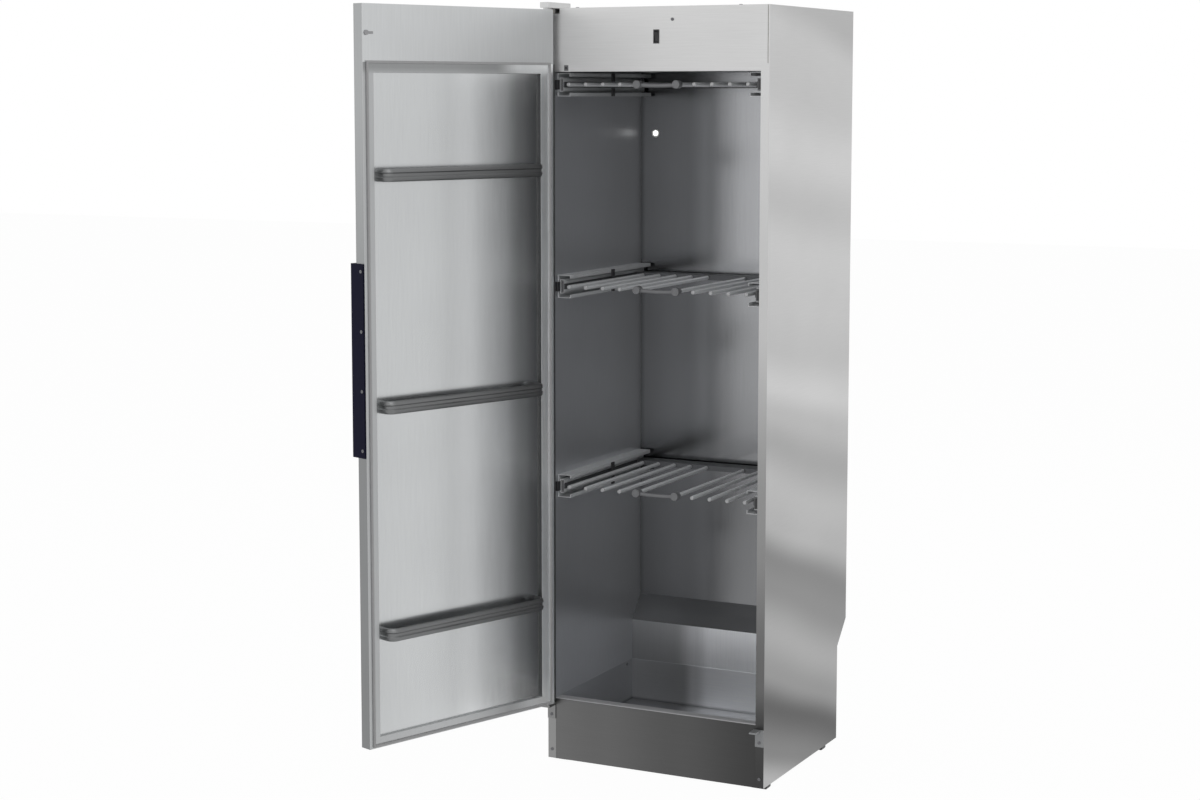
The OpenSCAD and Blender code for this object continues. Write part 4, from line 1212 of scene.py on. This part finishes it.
# %% A turned part
def turned(name, outline, centre, upright, sides):
    """Spins a closed outline of (radius, height) points round an upright axis, or one to the rear."""
    bpy.ops.mesh.primitive_plane_add(size=1)
    piece = latest(name)
    mesh = bmesh.new()
    spots = [mesh.verts.new((r * MM, 0, h * MM)) for r, h in outline]
    for index, spot in enumerate(spots):
        mesh.edges.new((spot, spots[(index + 1) % len(spots)]))
    mesh.to_mesh(piece.data)
    mesh.free()
    edit(piece, "VERT")
    everything()
    bpy.ops.mesh.spin(steps=sides, angle=2 * math.pi, center=(0, 0, 0), axis=(0, 0, 1))
    closed(piece)
    piece.rotation_euler = (0 if upright else -math.pi / 2, 0, 0)
    piece.location = [v * MM for v in centre]
    return settle(piece)


# %% Exhaust collar
DUCT_IN, WALL = 12, 1.5
collar_low, collar_high = corners("exhaust_collar")
flange_r = (collar_high[0] - collar_low[0]) / 2
duct_r = flange_r - DUCT_IN
foot, rise = collar_low[2] - TOP, collar_high[2] - TOP
collar = turned("air_collar", (
    (duct_r, foot), (duct_r, rise - 0.4), (duct_r + 0.4, rise), (duct_r + 1.8, rise),
    (duct_r + 2.2, rise - 0.5), (duct_r + WALL, rise - 1.2), (duct_r + WALL, WALL), (flange_r - 0.6, WALL),
    (flange_r, 0.9), (flange_r, 0.02), (duct_r + WALL, 0.02), (duct_r + WALL, foot),
), (*middle_of((collar_low, collar_high))[:2], TOP), True, 64)
fitted(collar, "zinc", "cabinet", "galvanised", "exhaust_collar")
print("collar radius", round(duct_r, 1), "flange", round(flange_r, 1))

# %% [markdown]
# ## Cable gland
#
# On the back, the mains cable leaves through a plastic gland: a domed body, turned like the collar, ribs for
# the fingers all round it, and a nut on each side of the sheet. A nut is a cylinder of six sides with a bore
# that is cut by a boolean, like the screw's recess.

# %% The gland's body and ribs
BORE, RIBS = 4.5, 14
gland_low, gland_high = corners("cable_gland")
gland_x, _, gland_z = middle_of((gland_low, gland_high))
gland = (gland_x, REAR, gland_z)
gland_l, inner_l = gland_high[1] - REAR, gland_low[1] - REAR
gland_parts = [turned("gland_body", (
    (BORE, inner_l), (BORE, gland_l), (5.6, gland_l), (7.0, gland_l - 1.0), (7.9, gland_l - 3.5),
    (7.9, inner_l + 0.8), (7.1, inner_l),
), gland, False, 40)]
for count in range(RIBS):
    rib = block("rib", (7.2, 5.2, -0.5), (8.9, gland_l - 2.6, 0.5), 0.3)
    rib.rotation_euler = (0, math.radians(count * 360 / RIBS), 0)
    rib.location = [v * MM for v in gland]
    gland_parts.append(settle(rib))
print("ribs:", RIBS)

# %% The gland's nuts
NUT_R, NUT_T = 12, 5
for name, away in (("gland_nut", 2.5), ("gland_nut_inside", -3.3)):
    nut = disc(name, (gland_x, REAR + away, gland_z), NUT_R, NUT_T, "y", 0.6, 6)
    cut_out(nut, disc("gland_cut", gland, 7.6, 40, "y", 0.0, 40))
    gland_parts.append(nut)
cable_gland = joined("gland", gland_parts)
fitted(cable_gland, "black", "cabinet", "black_plastic", "cable_gland")
print("gland faces:", len(cable_gland.data.polygons))

# %% [markdown]
# ## Studio
#
# The photograph has a pure white background. Lamps strong enough to burn out a grey floor would also burn out
# the steel. So the floor and the world show white to the camera and to mirrors only, and light the cabinet at a
# plain level.

# %% Floor
FLOOR_GLOW = 0.97
FLOOR_GREY = (0.86, 0.86, 0.86, 1)


def mix_to_output(tree, share, first, second, kind):
    """Mixes two shaders and sends the result to a new output."""
    mixed = node(tree, "ShaderNodeMixShader")
    for socket, source in zip(mixed.inputs, (share, first.outputs[0], second.outputs[0])):
        feed(tree, socket, source)
    tree.links.new(mixed.outputs[0], node(tree, kind).inputs[0])


bpy.ops.mesh.primitive_plane_add(size=40, location=(0, 0, 0))
floor = latest("studio_floor")
floor_mat, tree, shader = material("studio floor")
tree.nodes.clear()
rays = node(tree, "ShaderNodeLightPath").outputs
share = calc(tree, "MULTIPLY", calc(tree, "ADD", rays["Is Camera Ray"], rays["Is Glossy Ray"]), FLOOR_GLOW)
matte = node(tree, "ShaderNodeBsdfDiffuse", Color=FLOOR_GREY)
mix_to_output(tree, share, matte, node(tree, "ShaderNodeEmission"), "ShaderNodeOutputMaterial")
floor.data.materials.append(floor_mat)
print("floor nodes:", len(tree.nodes))

# %% World
WORLD_LIGHT = 0.72
world = bpy.data.worlds.new("studio")
scene.world = world
world.use_nodes = True
tree = world.node_tree
tree.nodes.clear()
rays = node(tree, "ShaderNodeLightPath").outputs
seen = calc(tree, "ADD", rays["Is Camera Ray"], rays["Is Glossy Ray"])
seen = calc(tree, "ADD", seen, rays["Is Transmission Ray"], clamp=True)
light = node(tree, "ShaderNodeBackground", Strength=WORLD_LIGHT)
white = node(tree, "ShaderNodeBackground", Color=(1, 1, 1, 1), Strength=1.0)
mix_to_output(tree, seen, light, white, "ShaderNodeOutputWorld")
scene.view_settings.view_transform = "Standard"
print("world light:", WORLD_LIGHT)

# %% [markdown]
# Three large soft lamps light the cabinet: a key from the front right, a fill from the left, and one for the
# back. Small lamps would draw hard shadows that the photograph doesn't have.

# %% Lamps
AIM = Vector((0, 0, 1.0))
LAMPS = (
    ("key_lamp", (2.4, -4.8, 4.4), 70, 3.5),
    ("fill_lamp", (-4.4, -3.2, 2.8), 48, 4.0),
    ("back_lamp", (1.5, 3.8, 4.0), 42, 3.5),
)
for name, spot, power, size in LAMPS:
    bpy.ops.object.light_add(type="AREA", location=spot)
    lamp = latest(name)
    lamp.data.energy = power
    lamp.data.shape = "SQUARE"
    lamp.data.size = size
    lamp.rotation_euler = (AIM - Vector(spot)).to_track_quat("-Z", "Y").to_euler()
print("lamps:", len(LAMPS))

# %% [markdown]
# ## Sizes
#
# The dressed cabinet has to be as large as its solids.

# %% End
print("scene built")
